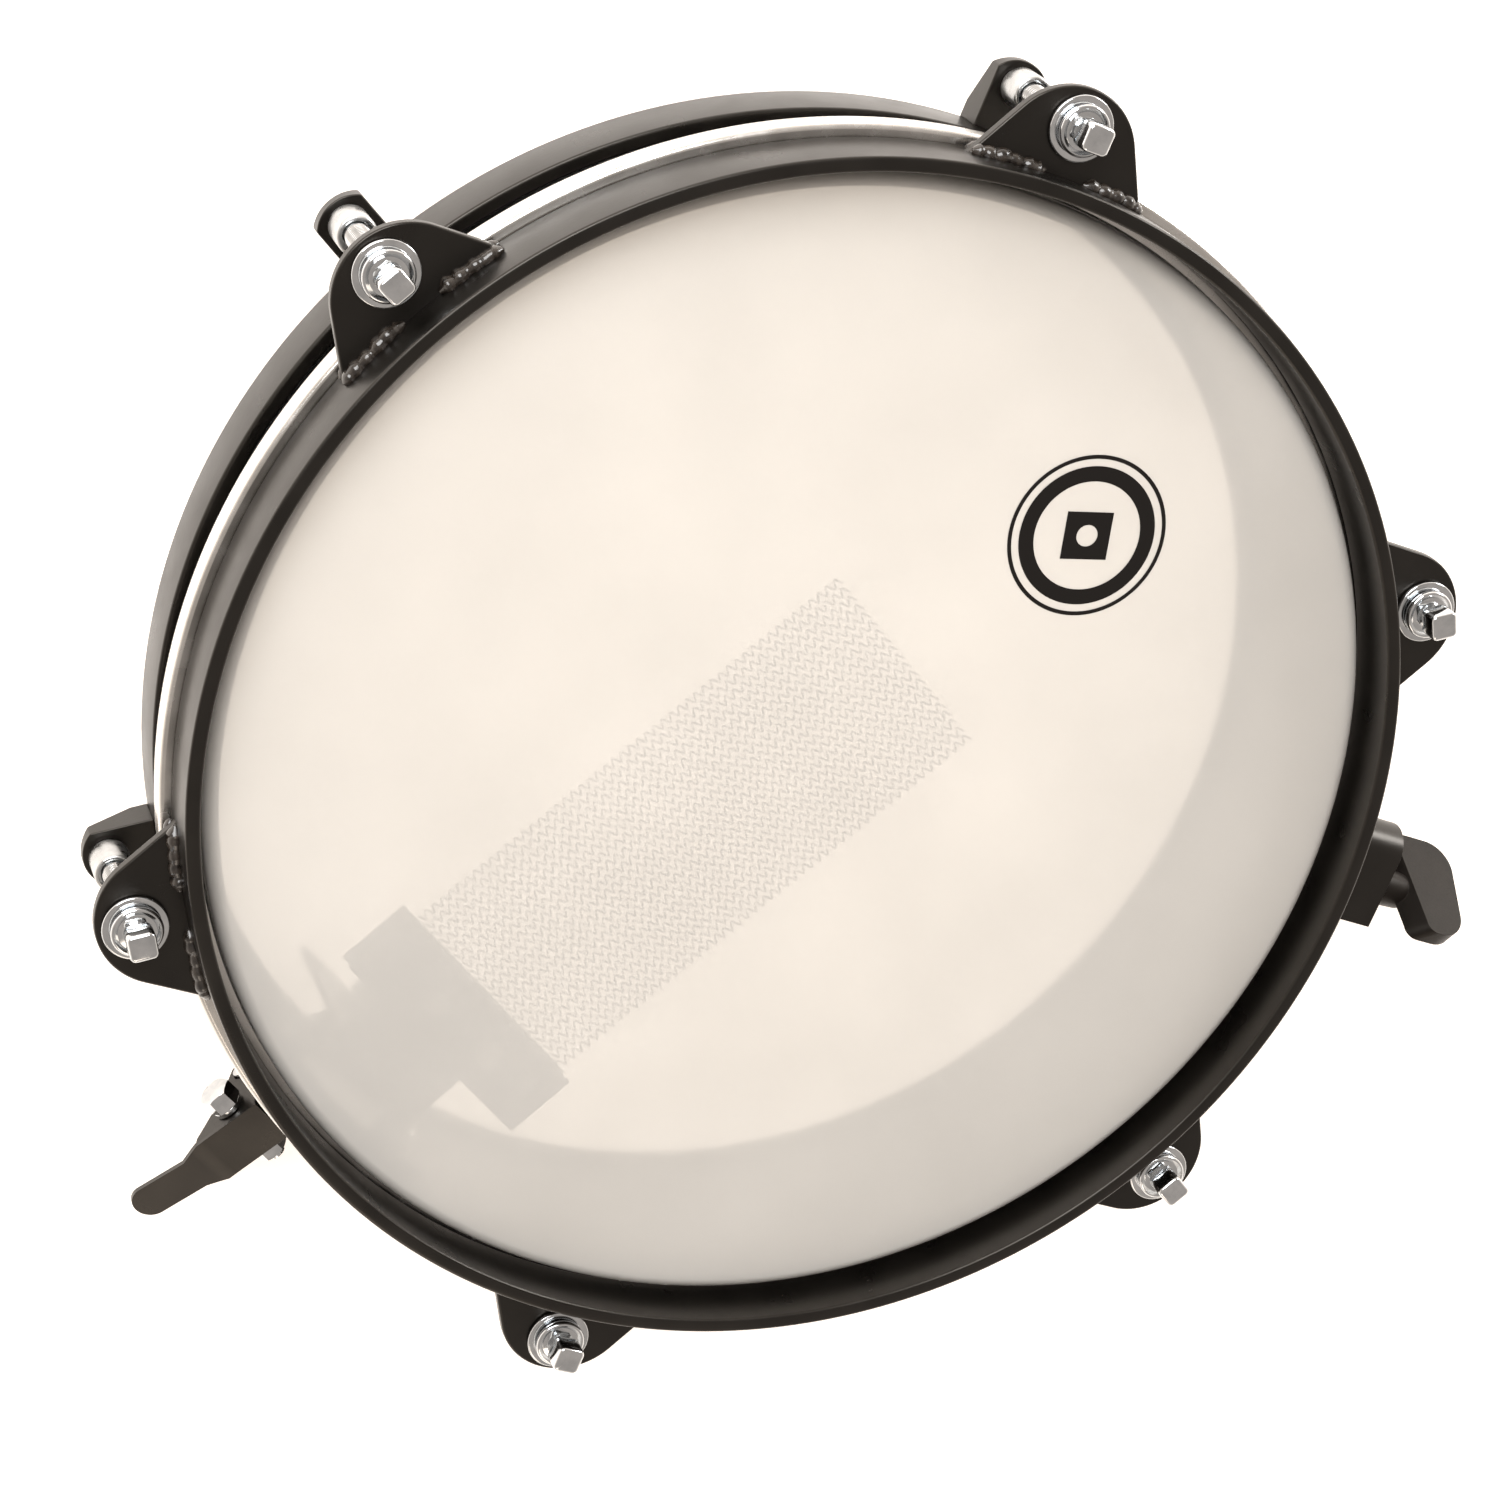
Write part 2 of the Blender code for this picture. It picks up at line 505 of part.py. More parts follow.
def make_snares(black, steel):
    """The swinging carrier, the clamp of two plates on it, its two screws and the wires."""
    half = CARRIER_W / 2
    near_r = CLAMP_R - CLAMP_L / 2
    far_r = CLAMP_R + CLAMP_L / 2
    leg = CARRIER_LEG_R
    bend = 1.6 * MM
    tab_top = WIRE_CLAMP_Z - WIRE_D / 2 - 2 * GAP - CLAMP_LOWER_T
    tab_low = tab_top - CARRIER_T
    leg_low = LINK_Z - 5 * MM
    outline = [(near_r + MM, tab_top), (near_r + MM, tab_low), (leg - bend - CARRIER_T, tab_low),
               (leg - CARRIER_T, tab_low - bend), (leg - CARRIER_T, leg_low), (leg, leg_low),
               (leg, tab_top - bend), (leg - bend, tab_top)]
    carrier = side_plate("snare_carrier", outline, SNARE_X - half, SNARE_X + half, black)
    knuckle = across("knuckle", KNUCKLE_R, CARRIER_PIVOT_R, CARRIER_PIVOT_Z, SNARE_X, half, black)
    join(carrier, knuckle)
    slot_r = PULL_ROD_R + 0.8 * MM
    slot = arc(0, LINK_Z + MM, slot_r, 0, 180, 8) + arc(0, LINK_Z - MM, slot_r, 180, 360, 8)
    upright = Matrix.Translation((0, -leg + 4 * MM, 0)) @ Matrix.Rotation(math.pi / 2, 4, "X")
    cut(carrier, extruded("slot", slot, 8 * MM, None, upright),
        across("bore", HINGE_PIN_R + GAP, CARRIER_PIVOT_R, CARRIER_PIVOT_Z, SNARE_X, half + MM, None))
    upper_z = WIRE_CLAMP_Z + WIRE_D / 2 + GAP
    lower_z = tab_top + GAP
    left = SNARE_X - CLAMP_W / 2
    right = SNARE_X + CLAMP_W / 2
    lower = box("snare_clamp_lower", (left, -far_r, lower_z),
                (right, -near_r, lower_z + CLAMP_LOWER_T), black)
    upper = box("snare_clamp_upper", (left, -far_r, upper_z),
                (right, -near_r, upper_z + CLAMP_UPPER_T), black)
    screws = []
    for number, side in enumerate((-1, 1), 1):
        x = SNARE_X + side * CLAMP_SCREW_X
        low = (x, -CLAMP_R, tab_low - 2 * MM)
        top = (x, -CLAMP_R, upper_z + CLAMP_UPPER_T + GAP)
        high = (x, -CLAMP_R, upper_z + CLAMP_UPPER_T + GAP + CLAMP_SCREW_HEAD_H)
        for plate in (carrier, lower, upper):
            cut(plate, rod("hole", CLAMP_SCREW_R + GAP, low, high, None, sides=10))
        screw = rod(f"snare_clamp_screw_{number}", CLAMP_SCREW_R, low, high, steel, sides=10)
        screws.append(join(screw, rod("head", CLAMP_SCREW_HEAD_R, top, high, steel, sides=12)))
    comb = box("snare_wires", (SNARE_X - WIRES * WIRE_PITCH / 2, -far_r, WIRE_CLAMP_Z - WIRE_D / 2),
               (SNARE_X + WIRES * WIRE_PITCH / 2, -near_r - MM, WIRE_CLAMP_Z + WIRE_D / 2), steel)
    for index in range(WIRES):
        x = SNARE_X + (index - (WIRES - 1) / 2) * WIRE_PITCH
        root = (x, -near_r - 3 * MM, WIRE_CLAMP_Z)
        tip = (x, -WIRE_TIP_R, FILM_Z - WIRES_BELOW_HEAD - WIRE_D / 2)
        join(comb, rod("wire", WIRE_D / 2, root, tip, steel, sides=6, turn=30))
    for screw in screws:
        x = screw.bound_box[0][0] / 2 + screw.bound_box[6][0] / 2
        ends = ((x, -CLAMP_R, tab_low), (x, -CLAMP_R, upper_z + CLAMP_UPPER_T))
        cut(comb, rod("hole", CLAMP_SCREW_R + GAP, *ends, None, sides=10))
    hung_on([carrier, lower, upper, comb, *screws], "carrier_axis",
            (SNARE_X, -CARRIER_PIVOT_R, CARRIER_PIVOT_Z))


def make_throw_off(black, chrome):
    """The fixed tongue on the rear ring, the folded lever, its bolt and nut, and the link pin."""
    pivot_r = LEVER_PIVOT_R
    pivot_z = LEVER_PIVOT_Z
    tongue_half = LEVER_W / 2 - LEVER_T - GAP
    turned_by = 83 + LEVER_OPENS
    nose = arc(pivot_r, pivot_z, LEVER_CLEAR, -60, turned_by, 8)
    tongue_low = RING_Z + 1.4 * MM
    notch_r = pivot_r - LEVER_HEEL - 3 * MM
    slope = math.radians(turned_by)
    notch_z = pivot_z + (LEVER_CLEAR - (notch_r - pivot_r) * math.cos(slope)) / math.sin(slope)
    outline = [(WELD_R, tongue_low), (pivot_r - LEVER_CLEAR, tongue_low)] + nose
    outline += [(notch_r, notch_z), (notch_r, pivot_z + LEVER_CLEAR), (WELD_R, pivot_z + LEVER_CLEAR)]
    tongue = side_plate("throw_off_tongue", outline, -tongue_half, tongue_half, black)
    cut(tongue, across("bore", PIVOT_BOLT_R + GAP, pivot_r, pivot_z, 0, LEVER_W, None))
    lever = make_lever(black)
    bolt_half = LEVER_W / 2 + NUT_H + 1.8 * MM
    bolt = across("throw_off_bolt", PIVOT_BOLT_R, pivot_r, pivot_z, 0, bolt_half, chrome)
    face = LEVER_W / 2 + GAP
    head = rod("head", BOLT_HEAD_R, (-face, -pivot_r, pivot_z),
               (-face - BOLT_HEAD_H, -pivot_r, pivot_z), chrome, sides=6)
    join(bolt, head)
    nut = rod("throw_off_nut", BOLT_HEAD_R, (face, -pivot_r, pivot_z),
              (face + NUT_H, -pivot_r, pivot_z), chrome, sides=6)
    cut(nut, across("bore", PIVOT_BOLT_R + GAP, pivot_r, pivot_z, 0, 2 * LEVER_W, None))
    pin = across("throw_off_link_pin", LINK_PIN_R, LINK_R, LINK_Z, 0, LEVER_W / 2 + 0.8 * MM, chrome)
    hung_on([lever, pin], "lever_axis", (0, -pivot_r, pivot_z))


def make_lever(black):
    """One folded sheet: a face plate that bends to the arm, and two tapered cheeks."""
    heel_r = LEVER_PIVOT_R - LEVER_HEEL
    heel_z = LEVER_PIVOT_Z + LEVER_HEEL_RISE
    kink_r = LEVER_PIVOT_R + LEVER_KINK
    kink_z = heel_z - LEVER_KINK_DROP
    tip_z = kink_z - LEVER_TIP_DROP
    half = LEVER_W / 2
    tip_half = LEVER_TIP_W / 2
    top = [(heel_r, heel_z), (heel_r, heel_z - LEVER_T), (kink_r - FOLD / 2, kink_z - LEVER_T),
           (LEVER_TIP_R, tip_z - LEVER_T), (LEVER_TIP_R, tip_z), (kink_r, kink_z)]
    lever = side_plate("throw_off_lever", top, -half, half, black)
    shoulder = kink_r + LEVER_NECK_L
    side = LEVER_TIP_X
    tip = arc(side, -LEVER_TIP_R + tip_half, tip_half, 180, 360, 8)
    plan = [(-half, -heel_r + MM), (-half, -kink_r), (side - tip_half, -shoulder)] + tip
    plan += [(side + tip_half, -shoulder), (half, -kink_r), (half, -heel_r + MM)]
    keep = extruded("plan", plan, RIM_Z, None)
    combine(lever, keep, "INTERSECT")
    tail = arc(LINK_R, LINK_Z, LEVER_TAIL_R, 180, 300, 5)
    cheek = [(heel_r, heel_z - FOLD)] + tail
    cheek += [(LEVER_PIVOT_R + 2 * MM, LEVER_PIVOT_Z - 5 * MM),
              (kink_r - FOLD, kink_z - LEVER_T - MM), (kink_r, kink_z - FOLD)]
    for low, high in ((-half, -half + LEVER_T), (half - LEVER_T, half)):
        join(lever, side_plate("cheek", cheek, low, high, black))
    cut(lever, across("bore", PIVOT_BOLT_R + GAP, LEVER_PIVOT_R, LEVER_PIVOT_Z, 0, LEVER_W, None),
        across("pin_hole", LINK_PIN_R + GAP, LINK_R, LINK_Z, 0, LEVER_W, None))
    return lever


def make_pull_rod(steel):
    """The rod from the lever's pin to the carrier's leg, and its two nuts round the leg."""
    eye_w = LEVER_W / 2 - LEVER_T - GAP
    slot_r = LINK_PIN_R + GAP
    outer_r = slot_r + 1.75 * MM
    low_z = LINK_Z - LINK_SWING
    ring = arc(LINK_R, low_z, outer_r, 180, 360, 8) + arc(LINK_R, LINK_Z, outer_r, 0, 180, 8)
    eye = side_plate("pull_rod", ring, -eye_w, eye_w, steel)
    slot = arc(LINK_R, low_z, slot_r, 180, 360, 8) + arc(LINK_R, LINK_Z, slot_r, 0, 180, 8)
    shank_r = LINK_R - slot_r - MM
    join(eye, rod("shank", PULL_ROD_R, (0, -shank_r, LINK_Z), (0, -PULL_ROD_INNER_R, LINK_Z), steel))
    cut(eye, side_plate("slot", slot, -LEVER_W, LEVER_W, None))
    play = 1.4 * MM
    faces = ((CARRIER_LEG_R + play, CARRIER_LEG_R + play + NUT_H),
             (CARRIER_LEG_R - CARRIER_T - play - NUT_H, CARRIER_LEG_R - CARRIER_T - play))
    for number, (low, high) in enumerate(faces, 1):
        nut = rod(f"pull_rod_nut_{number}", NUT_R, (0, -low, LINK_Z), (0, -high, LINK_Z), steel, sides=6)
        ends = ((0, -low + MM, LINK_Z), (0, -high - MM, LINK_Z))
        cut(nut, rod("bore", PULL_ROD_R + GAP, *ends, None))


def across(name, radius, at_r, at_z, centre_x, half_length, material):
    """A round bar along X in the throw-off's plane."""
    start = (centre_x + half_length, -at_r, at_z)
    end = (centre_x - half_length, -at_r, at_z)
    return rod(name, radius, start, end, material)


def make_stand_clamp(black, plastic, steel):
    """The block welded to the rear ring, with its passage, the stud and pad, and the wing knob."""
    turn = Matrix.Rotation(math.radians(CLAMP_ANGLE), 4, "Z")
    out = turn @ Vector((1, 0, 0))
    along = turn @ Vector((0, 1, 0))
    round_r = BLOCK_H / 2
    seat_end = SEAT_R + STAND_ROD_D + PAD_T + PAD_TRAVEL + GAP
    outline = [(-BLOCK_FLAT_SIDE, BLOCK_Z)]
    outline += arc(BLOCK_W - BLOCK_FLAT_SIDE - round_r, BLOCK_Z + round_r, round_r, -90, 90, 10)
    outline += [(-BLOCK_FLAT_SIDE + MM, BLOCK_Z + BLOCK_H), (-BLOCK_FLAT_SIDE, BLOCK_Z + BLOCK_H - MM)]
    stand = Matrix((along, Vector((0, 0, 1)), out)).transposed().to_4x4()
    block = extruded("stand_clamp_block", outline, BLOCK_END_R - WELD_R, black,
                     Matrix.Translation(out * WELD_R) @ stand)
    passage_half = STAND_ROD_D / 2 + GAP
    passage = [(SEAT_R, -passage_half), (seat_end, -passage_half),
               (seat_end, passage_half), (SEAT_R, passage_half)]
    cut(block, extruded("passage", passage, BLOCK_H + 2 * MM, None,
                        turn @ Matrix.Translation((0, 0, BLOCK_Z - MM))))

    def at(radius):
        return out * radius + along * CLAMP_AXIS_T + Vector((0, 0, CLAMP_AXIS_Z))

    cut(block, rod("bore", STUD_R + GAP, at(seat_end - MM), at(BLOCK_END_R + MM), None))
    pad_face = SEAT_R + STAND_ROD_D
    knob_base = BLOCK_END_R + GAP
    stud_end = knob_base + KNOB_HUB_H - 2 * MM
    rod("clamp_pad", PAD_R, at(pad_face), at(pad_face + PAD_T), steel)
    stud = rod("clamp_stud", STUD_R, at(pad_face + PAD_T + GAP), at(stud_end), steel)
    knob = make_knob(plastic)
    tilt = math.radians(KNOB_ROLL)
    span = -along * math.cos(tilt) + Vector((0, 0, math.sin(tilt)))
    thick = out.cross(span)
    place = Matrix((out, span, thick)).transposed().to_4x4()
    knob.data.transform(Matrix.Translation(at(knob_base)) @ place)
    cut(knob, rod("socket", STUD_R + GAP, at(knob_base - MM), at(stud_end + GAP), None))
    hung_on([stud, knob], "clamp_screw_axis", at(knob_base), math.radians(CLAMP_ANGLE))


def make_knob(plastic):
    """A thumb wing: a round hub, and one flat blade on its front whose inner edge leans away.
    X is the knob's axis and Y its span."""
    half = KNOB_SPAN / 2
    outer = KNOB_CORNER_R
    inner = KNOB_INNER_R
    blade = arc(KNOB_H - outer, half - outer, outer, 0, 90, 5)
    blade += arc(KNOB_FAR + inner, half - inner, inner, 90, 180, 4)
    blade += arc(KNOB_NEAR + inner, inner - half, inner, 180, 270, 4)
    blade += arc(KNOB_H - outer, outer - half, outer, -90, 0, 5)
    knob = rod("clamp_wing_knob", KNOB_HUB_R, (0, 0, 0), (KNOB_HUB_H + 2 * MM, 0, 0), plastic, sides=20)
    wing = extruded("wing", blade, KNOB_T, plastic,
                    Matrix.Translation((0, 0, -KNOB_HUB_R - KNOB_PROUD)))
    return join(knob, wing)


def stand_on_origin():
    """Moves everything so that the origin is under the middle of the whole object's box."""
    bpy.context.view_layer.update()
    pieces = [piece for piece in bpy.data.objects if piece.type == "MESH"]
    corners = [piece.matrix_world @ vertex.co for piece in pieces for vertex in piece.data.vertices]
    middle = [(min(c[i] for c in corners) + max(c[i] for c in corners)) / 2 for i in (0, 1)]
    for piece in bpy.data.objects:
        if not piece.parent:
            piece.location -= Vector((*middle, 0))


def main():
    clear_scene()
    black = finish("black_powder_coat", (0.022, 0.020, 0.018), 0.38, 0.0)
    film = finish("frosted_film", (0.86, 0.83, 0.79), 0.55, 0.0)
    aluminium = finish("aluminium", (0.80, 0.79, 0.77), 0.30, 1.0)
    chrome = finish("chrome_plate", (0.70, 0.69, 0.67), 0.12, 1.0)
    steel = finish("zinc_plated_steel", (0.55, 0.54, 0.52), 0.35, 1.0)
    plastic = finish("moulded_black", (0.030, 0.028, 0.026), 0.45, 0.0)
    make_shell(black)
    make_head(film, aluminium)
    make_hoops(black)
    make_ears(black)
    make_brackets(black)
    make_barrels(steel)
    make_rods(chrome)
    make_washers(chrome)
    make_strainer(black, steel)
    make_snares(black, steel)
    make_throw_off(black, chrome)
    make_pull_rod(steel)
    make_stand_clamp(black, plastic, steel)
    stand_on_origin()


main()
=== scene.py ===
# %% [markdown]
# # A ten inch side snare, dressed
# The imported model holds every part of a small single-headed snare drum: a steel shell, two steel
# hoops, six tension rods, the snares on their throw-off, and a clamp for a stand.
# This lesson loads that model and builds the looks round it, one piece at a time. Each piece is
# made in place, in metres, with +Z up and the rear edge of the shell on the floor.

# %% Load the model
import math
import random

import bmesh
import bpy
from mathutils import Matrix, Vector, noise


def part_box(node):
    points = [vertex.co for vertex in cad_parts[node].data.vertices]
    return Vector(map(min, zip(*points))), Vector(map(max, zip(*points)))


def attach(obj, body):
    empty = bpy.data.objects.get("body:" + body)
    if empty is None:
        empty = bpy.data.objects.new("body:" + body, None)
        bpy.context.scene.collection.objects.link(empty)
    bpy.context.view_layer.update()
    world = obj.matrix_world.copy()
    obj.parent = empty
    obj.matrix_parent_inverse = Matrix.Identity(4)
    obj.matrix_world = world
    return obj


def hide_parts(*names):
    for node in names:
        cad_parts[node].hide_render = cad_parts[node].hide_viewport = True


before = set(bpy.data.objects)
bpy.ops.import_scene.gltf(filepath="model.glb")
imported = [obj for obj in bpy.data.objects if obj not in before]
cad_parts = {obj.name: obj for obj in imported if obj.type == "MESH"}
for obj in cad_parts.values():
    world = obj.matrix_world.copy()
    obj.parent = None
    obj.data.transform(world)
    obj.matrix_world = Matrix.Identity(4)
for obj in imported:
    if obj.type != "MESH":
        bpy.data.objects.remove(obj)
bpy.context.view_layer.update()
MM = 0.001

# %% [markdown]
# ## Where the drum is
# Everything round is measured from the drum's own axis, and everything upright from its rear
# edge. The model's boxes give both, so that nothing here has to guess where a part sits. A node's
# box has a low and a high corner, and a few small helpers read the numbers that are needed.

# %% Measure the model
SHELL_LOW, SHELL_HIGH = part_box("shell")
AXIS = (SHELL_LOW + SHELL_HIGH) / 2
AXIS.z = 0
CLAMP_TURN = math.radians(30)
LUGS = 6


def heights(node):
    """The lowest and highest z of a node."""
    low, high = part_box(node)
    return low.z, high.z


def radius(node):
    """The outer radius of a node that goes round the drum's axis."""
    low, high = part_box(node)
    return (high.y - low.y) / 2


def reach(node):
    """The nearest and furthest distance from the axis towards the throw-off, at -Y."""
    low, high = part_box(node)
    return AXIS.y - high.y, AXIS.y - low.y


HOOP_LOW, RIM = heights("batter_hoop")
RING_LOW, RING_HIGH = heights("rear_ring")
HOOP_R = radius("batter_hoop")
SHELL_R = radius("shell")
LUG_R = (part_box("rod_washer_1")[0].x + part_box("rod_washer_1")[1].x) / 2 - AXIS.x
EAR_LOW, EAR_HIGH = heights("hoop_ear_1")
print("hoop radius", round(HOOP_R / MM, 2), "lug circle", round(LUG_R / MM, 2))

# %% [markdown]
# ## Colours and nodes
# Paint makers give colours as sRGB hex values, and a shader works with linear light, so one
# function turns the first into the second. One more adds a node, sets it up and links it, which
# keeps each material below short enough to read.

# %% Helpers for materials


def linear(hex_colour):
    """An sRGB hex colour as linear RGBA."""
    parts = [int(hex_colour[i:i + 2], 16) / 255 for i in (1, 3, 5)]
    return [c / 12.92 if c <= 0.04045 else ((c + 0.055) / 1.055) ** 2.4 for c in parts] + [1.0]


def add(tree, kind, values=None, links=None, **settings):
    """A new node with settings, input values, and links from (node, output) pairs."""
    made = tree.nodes.new(kind)
    for name, value in settings.items():
        setattr(made, name, value)
    for socket, value in (values or {}).items():
        made.inputs[socket].default_value = value
    for socket, (source, output) in (links or {}).items():
        tree.links.new(source.outputs[output], made.inputs[socket])
    return made


def new_material(name, **values):
    """A material with its Principled shader's plain values set. It returns both and the tree."""
    material = bpy.data.materials.new(name)
    material.use_nodes = True
    tree = material.node_tree
    shader = tree.nodes["Principled BSDF"]
    for socket, value in values.items():
        shader.inputs[socket.replace("_", " ")].default_value = value
    return material, tree, shader


def fine_noise(tree, size, detail=2.0, stretch=(1, 1, 1)):
    """Noise whose lumps are about this size in metres, finer where stretch is above 1."""
    place = add(tree, "ShaderNodeTexCoord")
    grid = add(tree, "ShaderNodeMapping", {"Scale": stretch}, {"Vector": (place, "Object")})
    return add(tree, "ShaderNodeTexNoise", {"Scale": 1 / size, "Detail": detail},
               {"Vector": (grid, "Vector")})


def spread(tree, source, low, high):
    """Maps a noise's middle range to low..high."""
    limits = {"From Min": 0.3, "From Max": 0.7, "To Min": low, "To Max": high}
    return add(tree, "ShaderNodeMapRange", limits, {"Value": (source, "Fac")})


def tinted(tree, source, dark, light):
    """A colour between two hex values, chosen by a noise."""
    ramp = add(tree, "ShaderNodeValToRGB", links={"Fac": (source, "Fac")})
    for stop, place, colour in zip(ramp.color_ramp.elements, (0.3, 0.7), (dark, light)):
        stop.position = place
        stop.color = linear(colour)
    return ramp


def bumped(tree, shader, height, depth, strength=1.0, output="Fac"):
    """Raises the surface by depth metres where height is 1."""
    values = {"Strength": strength, "Distance": depth}
    bump = add(tree, "ShaderNodeBump", values, {"Height": (height, output)})
    tree.links.new(bump.outputs["Normal"], shader.inputs["Normal"])
    return bump


# %% [markdown]
# ## Black powder coat
# The shell, hoops and lugs are mild steel, sprayed with dry black powder and baked. The powder
# melts into a smooth skin with a faint orange peel, about 1 mm from lump to lump, and its gloss
# drifts a little from place to place. It looks nearly black from above, and turns grey where it
# is seen at a low angle and mirrors the pale studio.

# %% Powder coat


# A resin's highlights have no colour of their own. These are tinted a little by choice, so that
# the black parts read as warm.
WARM_HIGHLIGHT = (1.0, 0.93, 0.85, 1.0)


def powder_coat():
    material, tree, shader = new_material("black_powder_coat_steel", IOR=1.5,
                                          Specular_Tint=WARM_HIGHLIGHT)
    peel = fine_noise(tree, 1.0 * MM)
    drift = fine_noise(tree, 14 * MM, detail=3.0)
    colour = tinted(tree, drift, "#080706", "#0F0D0B")
    tree.links.new(colour.outputs["Color"], shader.inputs["Base Color"])
    tree.links.new(spread(tree, drift, 0.26, 0.36).outputs["Result"], shader.inputs["Roughness"])
    bumped(tree, shader, peel, 0.012 * MM)
    return material


def coated_weld():
    """The same powder over a weld bead: it ran thin and glossy on the metal's ripples."""
    material, tree, shader = new_material("powder_coat_over_weld", IOR=1.5, Coat_Weight=0.6,
                                          Coat_Roughness=0.08)
    ripple = fine_noise(tree, 1.6 * MM, detail=3.0)
    tree.links.new(tinted(tree, ripple, "#14100D", "#3A332D").outputs["Color"], shader.inputs["Base Color"])
    tree.links.new(spread(tree, ripple, 0.14, 0.3).outputs["Result"], shader.inputs["Roughness"])
    bumped(tree, shader, ripple, 0.06 * MM)
    return material


POWDER_COAT = powder_coat()
COATED_WELD = coated_weld()
print("made", POWDER_COAT.name, COATED_WELD.name)

# %% [markdown]
# ## Frosted film
# The head is polyester film with a frosted coat sprayed on it. Light from the open back comes
# through and scatters, so that what is close under the film shows as a soft grey shadow. The
# shader is part cream-white paint and part rough glass. The maker's print is left out. In its
# place stands a plain mark of rings and a diamond, which stands for nobody.

# %% Frosted film
BADGE = AXIS + Vector((math.cos(math.radians(89)), math.sin(math.radians(89)), 0)) * 76 * MM
BADGE_R = 18 * MM


def maths(tree, operation, first, second):
    """A maths node on the values of two others."""
    return add(tree, "ShaderNodeMath", links={0: (first, "Value"), 1: (second, "Value")},
               operation=operation)


def film():
    material, tree, shader = new_material(
        "frosted_polyester_film", IOR=1.4, Roughness=0.11)
    cloud = fine_noise(tree, 40 * MM, detail=2.0)
    paper = tinted(tree, cloud, "#F0EDE8", "#F6F3EE")
    place = add(tree, "ShaderNodeTexCoord")
    local = add(tree, "ShaderNodeVectorMath", {1: (*BADGE.xy, 0)}, {0: (place, "Object")},
                operation="SUBTRACT")
    flat = add(tree, "ShaderNodeVectorMath", {1: (1, 1, 0)}, {0: (local, "Vector")}, operation="MULTIPLY")
    far = add(tree, "ShaderNodeVectorMath", links={0: (flat, "Vector")}, operation="LENGTH")
    axes = add(tree, "ShaderNodeVectorMath", links={0: (flat, "Vector")}, operation="ABSOLUTE")
    split = add(tree, "ShaderNodeSeparateXYZ", links={"Vector": (axes, "Vector")})
    diamond = add(tree, "ShaderNodeMath", links={0: (split, "X"), 1: (split, "Y")}, operation="ADD")
    line = 0.45 * MM
    inks = []
    for source, output, middle, half in (
        (far, "Value", BADGE_R - line, line), (far, "Value", BADGE_R - 4.2 * MM, 1.7 * MM),
        (diamond, "Value", 0, 7.5 * MM),
    ):
        inks.append(add(tree, "ShaderNodeMath", {1: middle, 2: half}, {0: (source, output)},
                        operation="COMPARE"))
    hole = add(tree, "ShaderNodeMath", {1: 2.4 * MM}, {0: (far, "Value")}, operation="GREATER_THAN")
    pierced = maths(tree, "MULTIPLY", inks[2], hole)
    rings = maths(tree, "MAXIMUM", inks[0], inks[1])
    ink = maths(tree, "MAXIMUM", rings, pierced)
    base = add(tree, "ShaderNodeMix", {"B": linear("#14110F")},
               {"Factor": (ink, "Value"), "A": (paper, "Color")}, data_type="RGBA")
    tree.links.new(base.outputs["Result"], shader.inputs["Base Color"])
    clear = add(tree, "ShaderNodeMapRange", {"To Min": 0.5, "To Max": 0.0}, {"Value": (ink, "Value")})
    tree.links.new(clear.outputs["Result"], shader.inputs["Transmission Weight"])
    bumped(tree, shader, fine_noise(tree, 0.6 * MM), 0.006 * MM)
    return material


FILM = film()
print("made", FILM.name)

# %% [markdown]
# ## Bare and plated metals
# Four metals show. The flesh hoop is rolled aluminium, with fine lines along the way it was
# rolled. Rods and washers are steel with bright chrome. Barrels, nuts and screws are zinc
# plated, which is greyer and a little cloudy. The snares are hard-drawn steel wire, drawn darker
# than bare steel is so that the set shows through the film. A metal keeps the default IOR,
# because its colour and metallic value already say how it mirrors.

# %% Metals


def metal(name, dark, light, rough_low, rough_high, cloud, grain, depth, stretch=(1, 1, 1)):
    """Plated or bare metal: a cloud of tint and gloss, and fine grain."""
    material, tree, shader = new_material(name, Metallic=1.0)
    drift = fine_noise(tree, cloud, detail=3.0)
    tree.links.new(tinted(tree, drift, dark, light).outputs["Color"], shader.inputs["Base Color"])
    tree.links.new(spread(tree, drift, rough_low, rough_high).outputs["Result"], shader.inputs["Roughness"])
    bumped(tree, shader, fine_noise(tree, grain, stretch=stretch), depth)
    return material


# Rolling lines are about 0.05 mm apart, too fine to show, so they are drawn 0.4 mm apart.
ALUMINIUM = metal("rolled_aluminium", "#D8D5D0", "#E9E6E2", 0.2, 0.3, 9 * MM, 6 * MM,
                  0.004 * MM, (1, 1, 15))
CHROME = metal("chrome_plated_steel", "#CBCED0", "#E2E4E6", 0.07, 0.14, 4 * MM, 1.2 * MM, 0.001 * MM)
ZINC = metal("zinc_plated_steel", "#B6B7B7", "#D3D4D4", 0.22, 0.38, 3 * MM, 0.5 * MM, 0.004 * MM)
WIRE = metal("drawn_steel_wire", "#7E7A75", "#96928C", 0.25, 0.35, 3 * MM, 0.4 * MM, 0.003 * MM)
print("made", ALUMINIUM.name, CHROME.name, ZINC.name, WIRE.name)

# %% [markdown]
# ## Black nylon
# The wing knob is glass-filled nylon, moulded in a tool with a fine eroded texture, about 0.25 mm
# from grain to grain, drawn at 0.5 mm so that it shows. It is rougher than the powder coat, and so
# looks softer. Its mirror level is set below real nylon's by choice, to keep its broad face dark.

# %% Nylon


